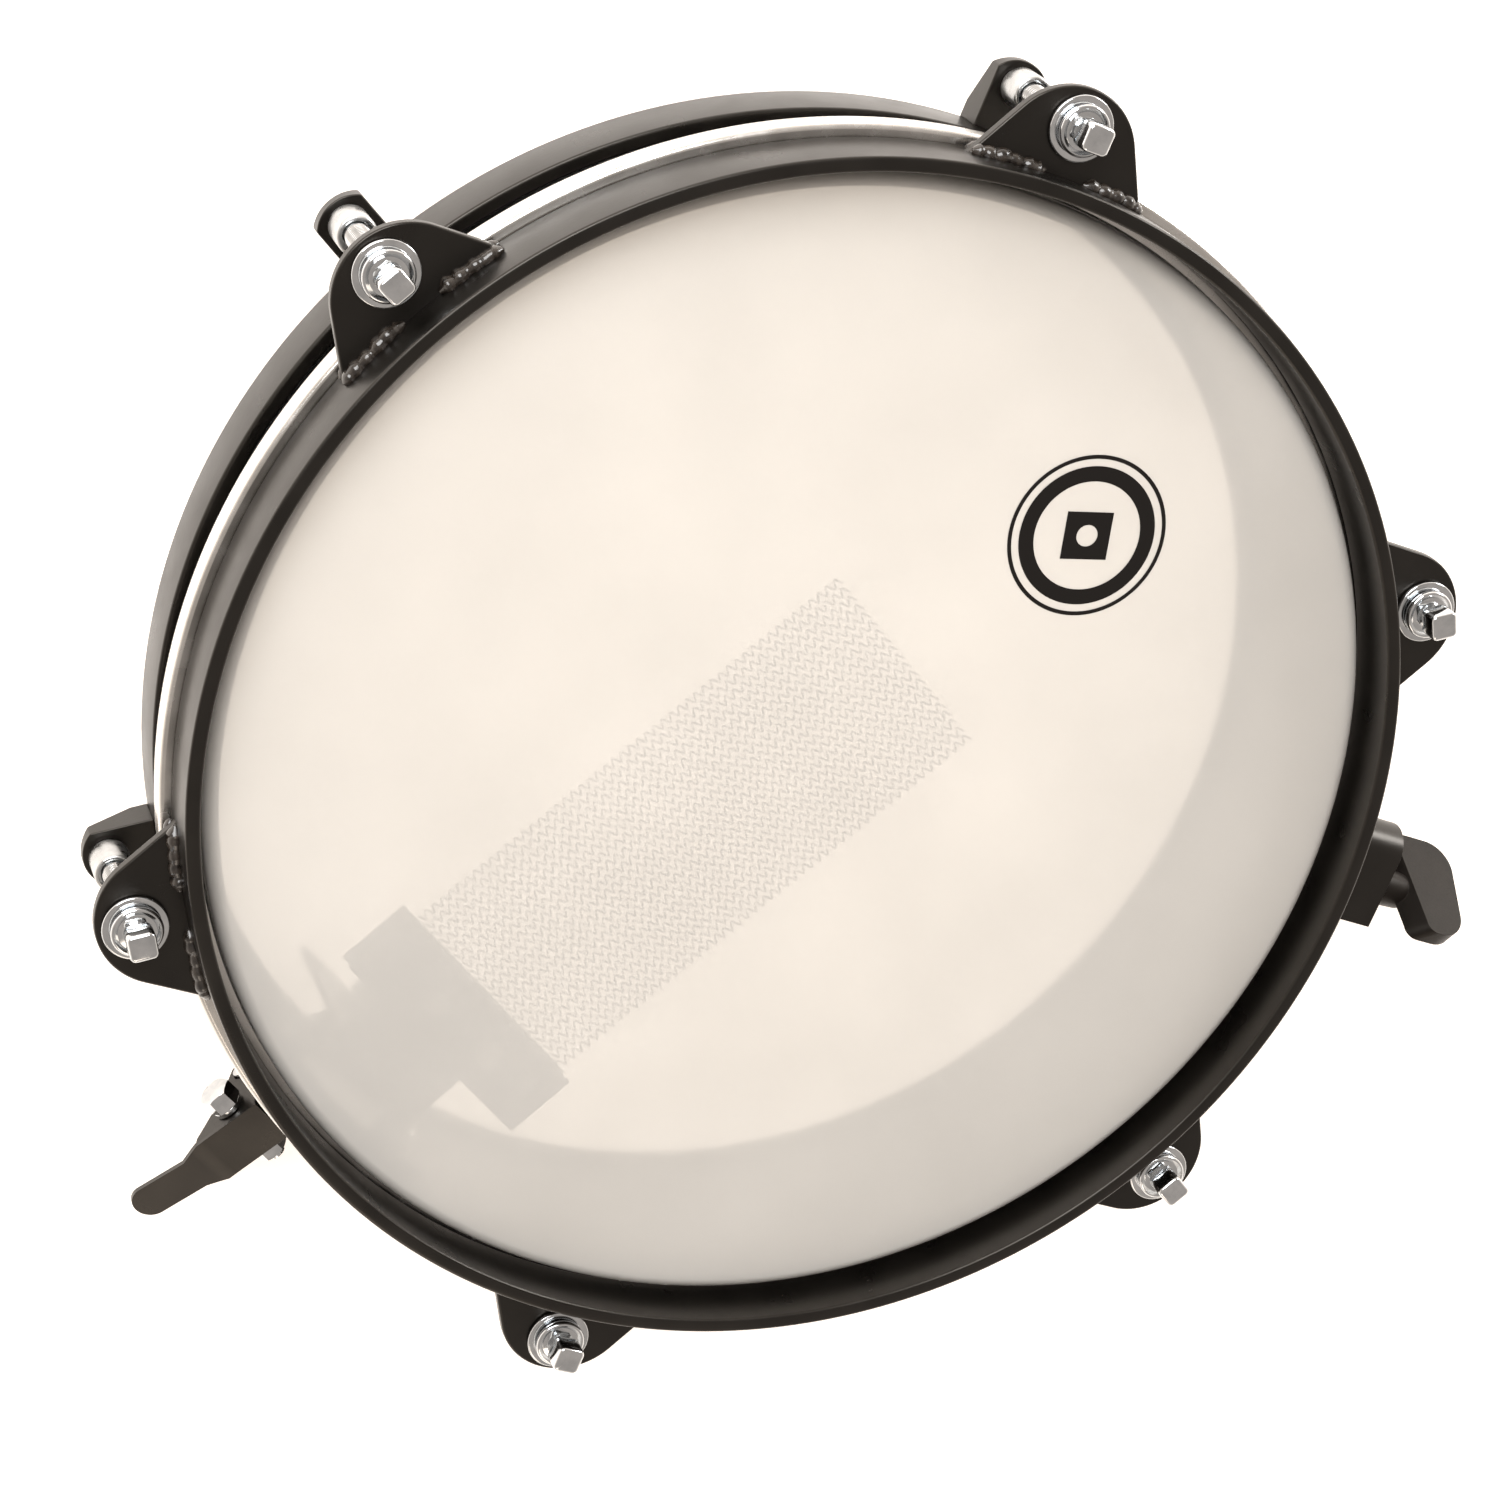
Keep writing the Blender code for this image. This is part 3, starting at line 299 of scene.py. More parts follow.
def nylon():
    material, tree, shader = new_material("moulded_black_nylon_texture", IOR=1.53,
                                          Specular_IOR_Level=0.22, Specular_Tint=WARM_HIGHLIGHT)
    grain = fine_noise(tree, 0.5 * MM, detail=3.0)
    drift = fine_noise(tree, 8 * MM)
    tree.links.new(tinted(tree, drift, "#0E0B09", "#16120F").outputs["Color"], shader.inputs["Base Color"])
    tree.links.new(spread(tree, grain, 0.38, 0.5).outputs["Result"], shader.inputs["Roughness"])
    bumped(tree, shader, grain, 0.015 * MM)
    return material


NYLON = nylon()
print("made", NYLON.name)

# %% [markdown]
# ## Tools for shapes
# Nearly every part is either turned round an axis or cut from plate. `spun` turns a closed
# outline of (radius, height) points, `slab` gives thickness to a flat outline, and `swept` runs a
# round section along a path, with a radius for each point, which makes wire and weld beads.
# `piece` turns the mesh into an object that rides on its body, and rounds its edges.

# %% Shape helpers
ROUND_STEPS = 288


def arc(x, y, r, start, end, steps):
    """Points on an arc, both ends included, with angles in degrees."""
    turns = [math.radians(start + (end - start) * i / steps) for i in range(steps + 1)]
    return [(x + r * math.cos(a), y + r * math.sin(a)) for a in turns]


def spun(profile, steps=ROUND_STEPS, centre=None):
    """The closed (radius, height) outline turned round a vertical axis at centre."""
    bm = bmesh.new()
    ring = [bm.verts.new((r, 0, z)) for r, z in profile]
    edges = [bm.edges.new((ring[i - 1], ring[i])) for i in range(len(ring))]
    bmesh.ops.spin(bm, geom=ring + edges, cent=(0, 0, 0), axis=(0, 0, 1), angle=math.tau,
                   steps=steps, use_merge=True)
    bmesh.ops.remove_doubles(bm, verts=bm.verts, dist=1e-6)
    bmesh.ops.delete(bm, geom=[e for e in bm.edges if not e.link_faces], context="EDGES")
    bm.transform(Matrix.Translation(AXIS if centre is None else centre))
    return bm


def slab(outline, low, high, place=Matrix(), top=None):
    """The flat outline given thickness from low to high along Z, then moved by place.
    With a top, the sides lean from the outline to that second one."""
    bm = bmesh.new()
    under = [bm.verts.new((x, y, low)) for x, y in outline]
    over = [bm.verts.new((x, y, high)) for x, y in top or outline]
    bm.faces.new(under)
    bm.faces.new(over)
    for i in range(len(under)):
        bm.faces.new((under[i - 1], under[i], over[i], over[i - 1]))
    bm.transform(place)
    bmesh.ops.recalc_face_normals(bm, faces=bm.faces)
    return bm


def bar(r, start, end, sides=32, turn=0.0):
    """A straight round or many-sided bar between two points."""
    start = Vector(start)
    along = Vector(end) - start
    place = Matrix.Translation(start) @ along.to_track_quat("Z", "Y").to_matrix().to_4x4()
    place = place @ Matrix.Rotation(math.radians(turn), 4, "Z")
    return slab(arc(0, 0, r, 0, 360 - 360 / sides, sides - 1), 0, along.length, place)


def swept(path, radii, sides=8):
    """A closed round section run along path, with a radius for each of its points."""
    bm = bmesh.new()
    rings = []
    for i, here in enumerate(path):
        along = path[min(i + 1, len(path) - 1)] - path[max(i - 1, 0)]
        up = Vector((0, 0, 1)) if abs(along.normalized().z) < 0.9 else Vector((1, 0, 0))
        side = along.cross(up).normalized()
        over = side.cross(along).normalized()
        ring = []
        for k in range(sides):
            a = math.tau * k / sides
            ring.append(bm.verts.new(here + (side * math.cos(a) + over * math.sin(a)) * radii[i]))
        rings.append(ring)
    for one, two in zip(rings, rings[1:]):
        for k in range(sides):
            bm.faces.new((one[k - 1], one[k], two[k], two[k - 1]))
    bm.faces.new(rings[0])
    bm.faces.new(rings[-1])
    bmesh.ops.recalc_face_normals(bm, faces=bm.faces)
    return bm


def merged(*parts):
    """One bmesh from several."""
    whole = bmesh.new()
    for part in parts:
        mesh = bpy.data.meshes.new("part")
        part.to_mesh(mesh)
        part.free()
        whole.from_mesh(mesh)
        bpy.data.meshes.remove(mesh)
    return whole


def solid(bm, name="helper"):
    """A plain object from a bmesh, which the bmesh's owner no longer needs."""
    bmesh.ops.recalc_face_normals(bm, faces=bm.faces)
    mesh = bpy.data.meshes.new(name)
    bm.to_mesh(mesh)
    bm.free()
    made = bpy.data.objects.new(name, mesh)
    bpy.context.scene.collection.objects.link(made)
    return made


def bake(target):
    """Applies the object's modifiers to its mesh."""
    bpy.context.view_layer.update()
    graph = bpy.context.evaluated_depsgraph_get()
    mesh = bpy.data.meshes.new_from_object(target.evaluated_get(graph))
    target.modifiers.clear()
    target.data = mesh
    return target


def combined(target, others, operation):
    """The object after a Boolean with each bmesh in turn."""
    for bm in others:
        other = solid(bm, "other")
        change = target.modifiers.new("combine", "BOOLEAN")
        change.operation = operation
        change.object = other
        bake(target)
        bpy.data.objects.remove(other, do_unlink=True)
    return target


def carved(bm, *cutters, operation="DIFFERENCE"):
    """The bmesh as an object, with each cutter taken away from it, or kept with INTERSECT."""
    return combined(solid(bm), cutters, operation)


def piece(name, made, finish, body, nodes=(), round_by=0.0, steps=3):
    """Names a bmesh or object, rounds its edges, gives it a finish and a body, and hides the model's nodes
    that it stands in for.
    """
    obj = made if isinstance(made, bpy.types.Object) else solid(made)
    obj.name = name
    obj.data.name = name
    obj.data.materials.clear()
    obj.data.materials.append(finish)
    obj.data.shade_smooth()
    if round_by:
        soft = obj.modifiers.new("rounded", "BEVEL")
        soft.width = round_by
        soft.segments = steps
        soft.limit_method = "ANGLE"
        soft.angle_limit = math.radians(35)
        soft.harden_normals = True
        bake(obj)
    else:
        obj.data.set_sharp_from_angle(angle=math.radians(38))
    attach(obj, body)
    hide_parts(*nodes)
    return obj


# %% [markdown]
# ## The camera and the studio
# The camera looks down on the drum from its -X side, with a long lens. The floor is a pale light
# table: it glows a little, as a white sweep does when it is lit from all round, so light also
# comes up through the open back of the drum. A large soft panel stands on the camera's side, and
# the sky is dim overhead and pale near the horizon, which keeps flat black faces black.

# %% Camera
EYE = AXIS + Vector((-0.409366, 0.013088, 0.742671))
RIGHT = Vector((0.56770, 0.76459, 0.30518))
DOWN = Vector((0.65417, -0.64401, 0.39661))
FORWARD = Vector((0.49978, -0.02551, -0.86577))
camera = bpy.data.objects.new("camera", bpy.data.cameras.new("camera"))
camera.data.lens = 91.187
camera.data.sensor_width = 36.0
camera.matrix_world = Matrix.Translation(EYE) @ Matrix((RIGHT, -DOWN, -FORWARD)).transposed().to_4x4()
bpy.context.scene.collection.objects.link(camera)
bpy.context.scene.camera = camera
print("camera is", round((EYE - AXIS).length, 3), "m from the drum")

# %% Floor and lights


def pale_floor():
    material, tree, shader = new_material("pale_sweep", Roughness=0.6, Emission_Strength=0.75)
    grain = fine_noise(tree, 3 * MM)
    paper = tinted(tree, grain, "#F4F2EF", "#F8F6F4")
    tree.links.new(paper.outputs["Color"], shader.inputs["Base Color"])
    shader.inputs["Emission Color"].default_value = linear("#FFF3E7")
    bm = bmesh.new()
    bmesh.ops.create_grid(bm, x_segments=1, y_segments=1, size=3.0)
    floor = solid(bm, "floor")
    floor.location.z = -0.5 * MM
    floor.data.materials.append(material)
    return floor


def soft_panel(name, at, size, power, colour=(1, 1, 1), aim=(0, 0, 0.03)):
    light = bpy.data.lights.new(name, "AREA")
    light.color = colour
    light.size = size
    light.energy = power
    made = bpy.data.objects.new(name, light)
    made.location = at
    made.rotation_euler = (Vector(aim) - Vector(at)).to_track_quat("-Z", "Y").to_euler()
    bpy.context.scene.collection.objects.link(made)


def studio_sky():
    world = bpy.data.worlds.new("studio")
    world.use_nodes = True
    tree = world.node_tree
    place = add(tree, "ShaderNodeTexCoord")
    split = add(tree, "ShaderNodeSeparateXYZ", links={"Vector": (place, "Generated")})
    ramp = add(tree, "ShaderNodeValToRGB", links={"Fac": (split, "Z")})
    for stop, where, colour in zip(ramp.color_ramp.elements, (0.1, 0.6), ("#FFF3E7", "#9F9892")):
        stop.position = where
        stop.color = linear(colour)
    back = tree.nodes["Background"]
    tree.links.new(ramp.outputs["Color"], back.inputs["Color"])
    back.inputs["Strength"].default_value = 1.3
    bpy.context.scene.world = world


pale_floor()
soft_panel("key_panel", (-1.4, 0.4, 1.3), 1.2, 38)
soft_panel("low_panel", (0.95, -1.1, 1.25), 0.7, 3.2, colour=(1.0, 0.86, 0.72))
soft_panel("rim_panel", (0.28, 1.9, 0.5), 0.6, 16)
studio_sky()
bpy.context.scene.view_settings.view_transform = "Standard"

# %% [markdown]
# ## Shell
# The shell is a tube of steel sheet. Its front edge is rounded over, so that the film can slide
# on it, and its rear edge is turned in to stiffen it. It is turned from one outline, and the
# hole for the pull rod and the two strainer screws' holes are cut afterwards.

# %% Shell
WALL = 1.2 * MM
SHELL_TOP = SHELL_HIGH.z
EDGE_R = 2.0 * MM
inner_r = SHELL_R - WALL
outline = arc(SHELL_R - EDGE_R, SHELL_TOP - EDGE_R, EDGE_R, 0, 90, 8)
outline += [(SHELL_R - EDGE_R, SHELL_TOP - WALL)]
outline += arc(inner_r - 1.2 * MM, SHELL_TOP - 3 * MM, 1.2 * MM, 60, 0, 4)
outline += arc(inner_r - 1.2 * MM, 2.8 * MM, 1.2 * MM, 0, -90, 5)
outline += [(inner_r - 3 * MM, 1.6 * MM), (inner_r - 3 * MM, 0)]
outline += arc(SHELL_R - 0.9 * MM, 0.9 * MM, 0.9 * MM, -90, 0, 5)
LINK_Z = sum(heights("throw_off_link_pin")) / 2
SCREW_R = 2.0 * MM
ROD_HOLE_R = 3.2 * MM
wall_y = AXIS.y - SHELL_R
cutters = [bar(ROD_HOLE_R, (AXIS.x, wall_y - 4 * MM, LINK_Z), (AXIS.x, wall_y + 7 * MM, LINK_Z))]
for number in (1, 2):
    low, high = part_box(f"strainer_screw_{number}")
    middle = (low + high) / 2
    flat = (middle - AXIS).xy.normalized()
    out = Vector((flat.x, flat.y, 0))
    at = AXIS + Vector((0, 0, middle.z))
    cutters.append(bar(SCREW_R + 0.3 * MM, at + out * (SHELL_R + 3 * MM), at + out * (SHELL_R - 5 * MM)))
drilled = carved(spun(outline), *cutters)
shell = piece("shell_skin", drilled, POWDER_COAT, "drum", ["shell"])
print("shell", len(shell.data.polygons), "faces")

# %% [markdown]
# ## Head and flesh hoop
# The film lies flat on the bearing edge, bends over it and runs down inside a channel of rolled
# aluminium, which the batter hoop presses. Both are turned from the same outlines as the model,
# with more points on each bend so that light runs smoothly round them.

# %% Head and flesh hoop
FILM_T = 0.35 * MM
FILM_TOP = heights("drum_head")[1]
FOOT_Z = heights("drum_head")[0]
collar_r = SHELL_R + 1.0 * MM
over_r = EDGE_R + 1.0 * MM
bend = (collar_r - over_r + FILM_T, FILM_TOP - over_r)
foot_r = radius("drum_head")
outline = [(0, FILM_TOP), (60 * MM, FILM_TOP), (110 * MM, FILM_TOP)] + arc(*bend, over_r, 90, 0, 10)
outline += [(collar_r + FILM_T, FOOT_Z + FILM_T), (foot_r, FOOT_Z + FILM_T)]
outline += [(foot_r, FOOT_Z), (collar_r, FOOT_Z)]
outline += arc(*bend, over_r - FILM_T, 0, 90, 10) + [(110 * MM, FILM_TOP - FILM_T), (0, FILM_TOP - FILM_T)]
piece("frosted_head", spun(outline), FILM, "drum", ["drum_head"])
FLESH_LOW, FLESH_HIGH = heights("flesh_hoop")
flesh_r = radius("flesh_hoop")
bore_r = collar_r + FILM_T + 0.3 * MM
outline = [(bore_r, FLESH_HIGH)] + arc(flesh_r - 1.3 * MM, FLESH_HIGH - 1.3 * MM, 1.3 * MM, 90, 0, 8)
outline += arc(flesh_r - 2.4 * MM, FLESH_LOW + 2.4 * MM, 2.4 * MM, 0, -90, 8)
outline += [(bore_r, FLESH_LOW), (bore_r, FLESH_LOW + 1.2 * MM), (bore_r + 3.8 * MM, FLESH_LOW + 1.2 * MM),
            (bore_r + 3.8 * MM, FLESH_LOW + 2.8 * MM), (bore_r, FLESH_LOW + 2.8 * MM)]
piece("flesh_channel", spun(outline), ALUMINIUM, "drum", ["flesh_hoop"])
print("film", round(FILM_T / MM, 2), "mm thick at", round(FILM_TOP / MM, 2), "mm")

# %% [markdown]
# ## Hoops
# Both hoops are bent from the same steel strip, 3.2 mm thick, with sheared edges that were
# tumbled round. The rear one has a ledge that meets the shell. Rounding each edge of the outline
# matters more than anything else here, because the thin bright lines on a black hoop are nothing
# but its edges.

# %% Hoops
STRIP = 3.2 * MM
ROUND = 0.75 * MM


def rounded_outline(points, r, steps=4):
    """A closed outline whose corners are replaced with arcs of about radius r."""
    made = []
    for i, point in enumerate(points):
        here = Vector(point)
        back = (Vector(points[i - 1]) - here)
        ahead = (Vector(points[(i + 1) % len(points)]) - here)
        cut = min(r, back.length * 0.45, ahead.length * 0.45)
        start = here + back.normalized() * cut
        end = here + ahead.normalized() * cut
        for k in range(steps + 1):
            t = k / steps
            made.append(tuple(start * (1 - t) ** 2 + here * 2 * t * (1 - t) + end * t ** 2))
    return made


hoop_in = HOOP_R - STRIP
band = [(hoop_in, HOOP_LOW), (hoop_in, RIM), (HOOP_R, RIM), (HOOP_R, HOOP_LOW)]
piece("batter_hoop_band", spun(rounded_outline(band, ROUND)), POWDER_COAT, "hoop",
      ["batter_hoop"])
ledge = SHELL_R + 0.3 * MM
band = [(ledge, RING_LOW), (ledge, RING_LOW + 2 * MM), (hoop_in, RING_LOW + 2 * MM), (hoop_in, RING_HIGH),
        (HOOP_R, RING_HIGH), (HOOP_R, RING_LOW)]
piece("rear_ring_band", spun(rounded_outline(band, ROUND)), POWDER_COAT, "drum",
      ["rear_ring"])
print("hoops", round(HOOP_R / MM, 1), "mm in radius")

# %% [markdown]
# ## Round the lugs
# Six of everything stand on one circle. Each is built at the +X lug, round the drum's axis, and
# turned to its place, so one function gives the turn for each lug.

# %% Turns


def lug_turn(index):
    """Moves a piece from the +X lug, round the origin, to this lug of the drum."""
    return Matrix.Translation(AXIS) @ Matrix.Rotation(math.tau * index / LUGS, 4, "Z")


# %% [markdown]
# ## Ears and welds
# Each ear is plate with a round nose, welded edge-on to the hoop. The welds were made by hand in
# two runs with a smooth stretch between them, and powder coat lies over them, so they show as
# rows of black lumps with small bright tops. A bead is a round section swept along the joint,
# whose radius swells once for each drop of metal, with a little seeded noise.

# %% Ears and welds
EAR_T = EAR_HIGH - EAR_LOW
EAR_HALF = (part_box("hoop_ear_1")[1].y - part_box("hoop_ear_1")[0].y) / 2
NOSE_R = 15.3 * MM
NOSE_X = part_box("hoop_ear_1")[1].x - AXIS.x - NOSE_R
DROP = 3.0 * MM


def ear_outline():
    base_r = HOOP_R - 0.4 * MM
    half = math.degrees(math.asin(EAR_HALF / (HOOP_R + 0.3 * MM)))
    base = arc(0, 0, base_r, -half, half, 24)
    away = Vector(base[-1]) - Vector((NOSE_X, 0))
    swing = math.degrees(math.atan2(away.y, away.x) - math.acos(NOSE_R / away.length))
    return base + arc(NOSE_X, 0, NOSE_R, swing, -swing, 48)


def weld_run(start, end, z, seed):
    """A lumpy bead along the hoop's wall, between two distances along it."""
    chance = random.Random(seed)
    steps = int((end - start) / (0.35 * MM))
    path = []
    radii = []
    for i in range(steps + 1):
        along = start + (end - start) * i / steps
        angle = along / HOOP_R
        swell = abs(math.sin(math.pi * along / DROP))
        wander = noise.noise(Vector((along / (2.6 * MM), seed, 0)))
        fade = min(1.0, i / 5, (steps - i) / 5)
        size = 1.35 + 0.45 * swell + 0.4 * wander + chance.uniform(-0.05, 0.05)
        radii.append(size * MM * (0.3 + 0.7 * fade))
        r = HOOP_R + (0.5 + 0.5 * noise.noise(Vector((along / (3.1 * MM), seed, 7)))) * MM
        path.append(Vector((r * math.cos(angle), r * math.sin(angle), z)))
    return swept(path, radii, sides=12)


def ear(index):
    plate = slab(ear_outline(), EAR_LOW, EAR_HIGH)
    hole = bar(3.25 * MM, (LUG_R, 0, EAR_LOW - EAR_T), (LUG_R, 0, EAR_HIGH + EAR_T))
    made = carved(plate, hole)
    made.data.transform(lug_turn(index))
    name = f"hoop_ear_{index + 1}"
    piece(f"ear_plate_{index + 1}", made, POWDER_COAT, "hoop", [name], 0.5 * MM)
    runs = []
    for run, (start, end) in enumerate(((-20.3, -5.5), (3.5, 20.3))):
        runs.append(weld_run(start * MM, end * MM, EAR_HIGH + 0.3 * MM, 4 * index + run + 0.5))
        runs.append(weld_run(start * MM, end * MM, EAR_LOW - 0.3 * MM, 4 * index + run + 2.5))
    beads = merged(*runs)
    beads.transform(lug_turn(index))
    piece(f"ear_weld_{index + 1}", beads, COATED_WELD, "hoop")


for number in range(LUGS):
    ear(number)
print("ears", round(2 * EAR_HALF / MM, 1), "mm wide")

# %% [markdown]
# ## Lugs
# A lug is one folded plate: a front with a round nose, and two cheeks that slope back to the rear
# ring. A hollow and a wedge are cut from a thick slab, which gives the same shape as folding,
# and its edges are rounded as a press brake leaves them. The threaded barrel stands on it.

# %% Lugs and barrels
BRACKET_LOW, BRACKET_HIGH = heights("lug_bracket_1")
BRACKET_HALF = (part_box("lug_bracket_1")[1].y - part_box("lug_bracket_1")[0].y) / 2
BRACKET_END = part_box("lug_bracket_1")[1].x - AXIS.x
BRACKET_NOSE_R = 7.8 * MM
BRACKET_T = 1.6 * MM
NOSE_DEPTH = 2.4 * MM
BARREL_LOW, BARREL_HIGH = heights("lug_barrel_1")
ROD_R = 2.75 * MM


def lug_outline(inset, start):
    """The lug's front from above, drawn in by inset: straight sides and a slightly rounded end."""
    half = BRACKET_HALF - inset
    r = BRACKET_NOSE_R - inset
    turn = math.degrees(math.asin(half / r))
    return [(start, -half)] + arc(BRACKET_END - BRACKET_NOSE_R, 0, r, -turn, turn, 24) + [(start, half)]


def lug(index):
    root = HOOP_R - 0.3 * MM
    block = slab(lug_outline(0, root), BRACKET_LOW, BRACKET_HIGH)
    hollow = slab(lug_outline(BRACKET_T, root - MM), BRACKET_LOW - MM, BRACKET_HIGH - BRACKET_T)
    end = BRACKET_END + MM
    slant = [(HOOP_R + 1.3 * MM, BRACKET_LOW - MM), (end, BRACKET_LOW - MM)]
    slant += [(end, BRACKET_HIGH - NOSE_DEPTH)]
    upright = Matrix.Rotation(math.pi / 2, 4, "X")
    wedge = slab(slant, -BRACKET_HALF - MM, BRACKET_HALF + MM, upright)
    hole = bar(ROD_R + 0.3 * MM, (LUG_R, 0, BRACKET_LOW), (LUG_R, 0, BRACKET_HIGH + MM))
    made = carved(block, hollow, wedge, hole)
    made.data.transform(lug_turn(index))
    name = f"lug_bracket_{index + 1}"
    piece(f"lug_plate_{index + 1}", made, POWDER_COAT, "drum", [name], 0.35 * MM)


def barrel(index):
    """A turned barrel: a stepped-in foot, a rounded mouth and a countersunk bore."""
    bore = ROD_R + 0.3 * MM
    r = (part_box("lug_barrel_1")[1].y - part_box("lug_barrel_1")[0].y) / 2
    outline = [(bore, BARREL_LOW), (bore, BARREL_HIGH - 0.5 * MM), (bore + 0.5 * MM, BARREL_HIGH)]
    outline += arc(r - 0.7 * MM, BARREL_HIGH - 0.7 * MM, 0.7 * MM, 90, 0, 5)
    outline += [(r, BARREL_LOW + 0.7 * MM), (r - 0.35 * MM, BARREL_LOW + 0.5 * MM)]
    outline += [(r - 0.35 * MM, BARREL_LOW)]
    bm = spun(outline, 64, Vector((LUG_R, 0, 0)))
    bm.transform(lug_turn(index))
    piece(f"barrel_{index + 1}", bm, ZINC, "drum", [f"lug_barrel_{index + 1}"])


for number in range(LUGS):
    lug(number)
    barrel(number)
print("lugs", round((BRACKET_HIGH - BRACKET_LOW) / MM, 1), "mm deep")

# %% [markdown]
# ## Tension rods
# A drum key turns the square head of each rod. Under it is a narrow neck and a round flange that
# presses a washer on the ear, and below the ear the rod's thread shows. The thread is a real
# helix: each ring of points is pushed out where the ridge passes. Its pitch is 0.9 mm, which is
# also what the model's joint uses to tie the turn of a rod to the travel of the hoop.

# %% Rods and washers
PITCH = 0.9 * MM
THREAD_DEPTH = 0.42 * MM
ROD_LOW, ROD_HIGH = heights("tension_rod_1")
WASHER_LOW, WASHER_HIGH = heights("rod_washer_1")
FLANGE_LOW = WASHER_HIGH + 0.3 * MM
FLANGE_HIGH = FLANGE_LOW + 2.0 * MM
FLANGE_R = 5.5 * MM
HEAD_AF = 6.0 * MM


def threaded(r, low, high, pitch, depth, around=28, per_turn=8):
    """A vertical threaded bar on the Z axis, closed at both ends."""
    bm = bmesh.new()
    rows = int((high - low) / pitch * per_turn)
    rings = []
    for row in range(rows + 1):
        z = low + (high - low) * row / rows
        ease = min(1.0, row / per_turn, (rows - row) / per_turn)
        ring = []
        for k in range(around):
            a = math.tau * k / around
            phase = (z / pitch - k / around) % 1.0
            valley = 1 - abs(2 * phase - 1)
            here = r - depth * valley * ease - 0.3 * MM * (1 - min(1.0, row / per_turn * 2))
            ring.append(bm.verts.new((here * math.cos(a), here * math.sin(a), z)))
        rings.append(ring)
    for one, two in zip(rings, rings[1:]):
        for k in range(around):
            bm.faces.new((one[k - 1], one[k], two[k], two[k - 1]))
    bm.faces.new(rings[0])
    bm.faces.new(rings[-1])
    return bm


def square_head(low, high):
    """The key square: rounded uprights, a chamfered foot and a slightly domed top."""
    bm = bmesh.new()
    bmesh.ops.create_cube(bm, size=1.0)
    size = Matrix.Diagonal((HEAD_AF, HEAD_AF, high - low, 1))
    bm.transform(Matrix.Translation((0, 0, (low + high) / 2)) @ size)
    uprights = [e for e in bm.edges if abs(e.verts[0].co.z - e.verts[1].co.z) > MM]
    bmesh.ops.bevel(bm, geom=uprights, offset=1.25 * MM, segments=4, profile=0.5, affect="EDGES")
    rims = [e for e in bm.edges if abs(e.verts[0].co.z - e.verts[1].co.z) < 1e-7]
    bmesh.ops.bevel(bm, geom=rims, offset=0.75 * MM, segments=3, profile=0.5, affect="EDGES")
    return bm


def tension_rod(index):
    shank = threaded(ROD_R, ROD_LOW, FLANGE_LOW + 0.4 * MM, PITCH, THREAD_DEPTH)
    flange = [(0, FLANGE_LOW), (FLANGE_R - 0.4 * MM, FLANGE_LOW)]
    flange += arc(FLANGE_R - 0.5 * MM, FLANGE_LOW + 0.7 * MM, 0.5 * MM, -90, 0, 4)
    flange += arc(FLANGE_R - 0.7 * MM, FLANGE_HIGH - 0.9 * MM, 0.7 * MM, 0, 90, 5)
    flange += [(FLANGE_R - 1.5 * MM, FLANGE_HIGH - 0.7 * MM), (3.0 * MM, FLANGE_HIGH - 0.5 * MM)]
    flange += [(2.75 * MM, FLANGE_HIGH + 0.2 * MM), (2.75 * MM, FLANGE_HIGH + 1.6 * MM)]
    flange += [(0, FLANGE_HIGH + 1.6 * MM)]
    collar = spun(flange, 64, Vector())
    bm = merged(shank, collar, square_head(FLANGE_HIGH + 1.0 * MM, ROD_HIGH))
    bm.transform(lug_turn(index) @ Matrix.Translation((LUG_R, 0, 0)))
    name = f"tension_rod_{index + 1}"
    piece(f"key_rod_{index + 1}", bm, CHROME, f"rod_{index + 1}", [name])


def washer(index):
    r = (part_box("rod_washer_1")[1].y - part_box("rod_washer_1")[0].y) / 2
    hole = ROD_R + 0.4 * MM
    outline = [(hole, WASHER_LOW), (hole, WASHER_HIGH)]
    outline += [(r - 1.5 * MM, WASHER_HIGH), (r - 1.2 * MM, WASHER_HIGH)]
    outline += arc(r - 0.4 * MM, WASHER_HIGH - 0.4 * MM, 0.4 * MM, 90, 0, 4)
    outline += arc(r - 0.3 * MM, WASHER_LOW + 0.3 * MM, 0.3 * MM, 0, -90, 3)
    bm = spun(outline, 72, Vector((LUG_R, 0, 0)))
    bm.transform(lug_turn(index))
    piece(f"washer_{index + 1}", bm, CHROME, "hoop", [f"rod_washer_{index + 1}"])


for number in range(LUGS):
    tension_rod(number)
    washer(number)
print("rods", round((ROD_HIGH - ROD_LOW) / MM, 1), "mm long, pitch", PITCH / MM, "mm")

# %% [markdown]
# ## Snares
# A snare wire is a coil, wound tight and then stretched. Twenty of them lie side by side under
# the film, held in the clamp at one end and free at the other. Each coil is a thin section swept
# along a helix. The real wire makes about ten turns a centimetre, too fine to show through the
# film, so it is drawn with a turn every 2.2 mm, and even so shows only faintly.

# %% Snare wires
WIRES = 20
WIRE_PITCH = 2.6 * MM
COIL_R = 1.1 * MM
WIRE_R = 0.25 * MM
COIL_PITCH = 2.2 * MM
SNARE_LOW, SNARE_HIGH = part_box("snare_wires")
SNARE_X = (SNARE_LOW.x + SNARE_HIGH.x) / 2


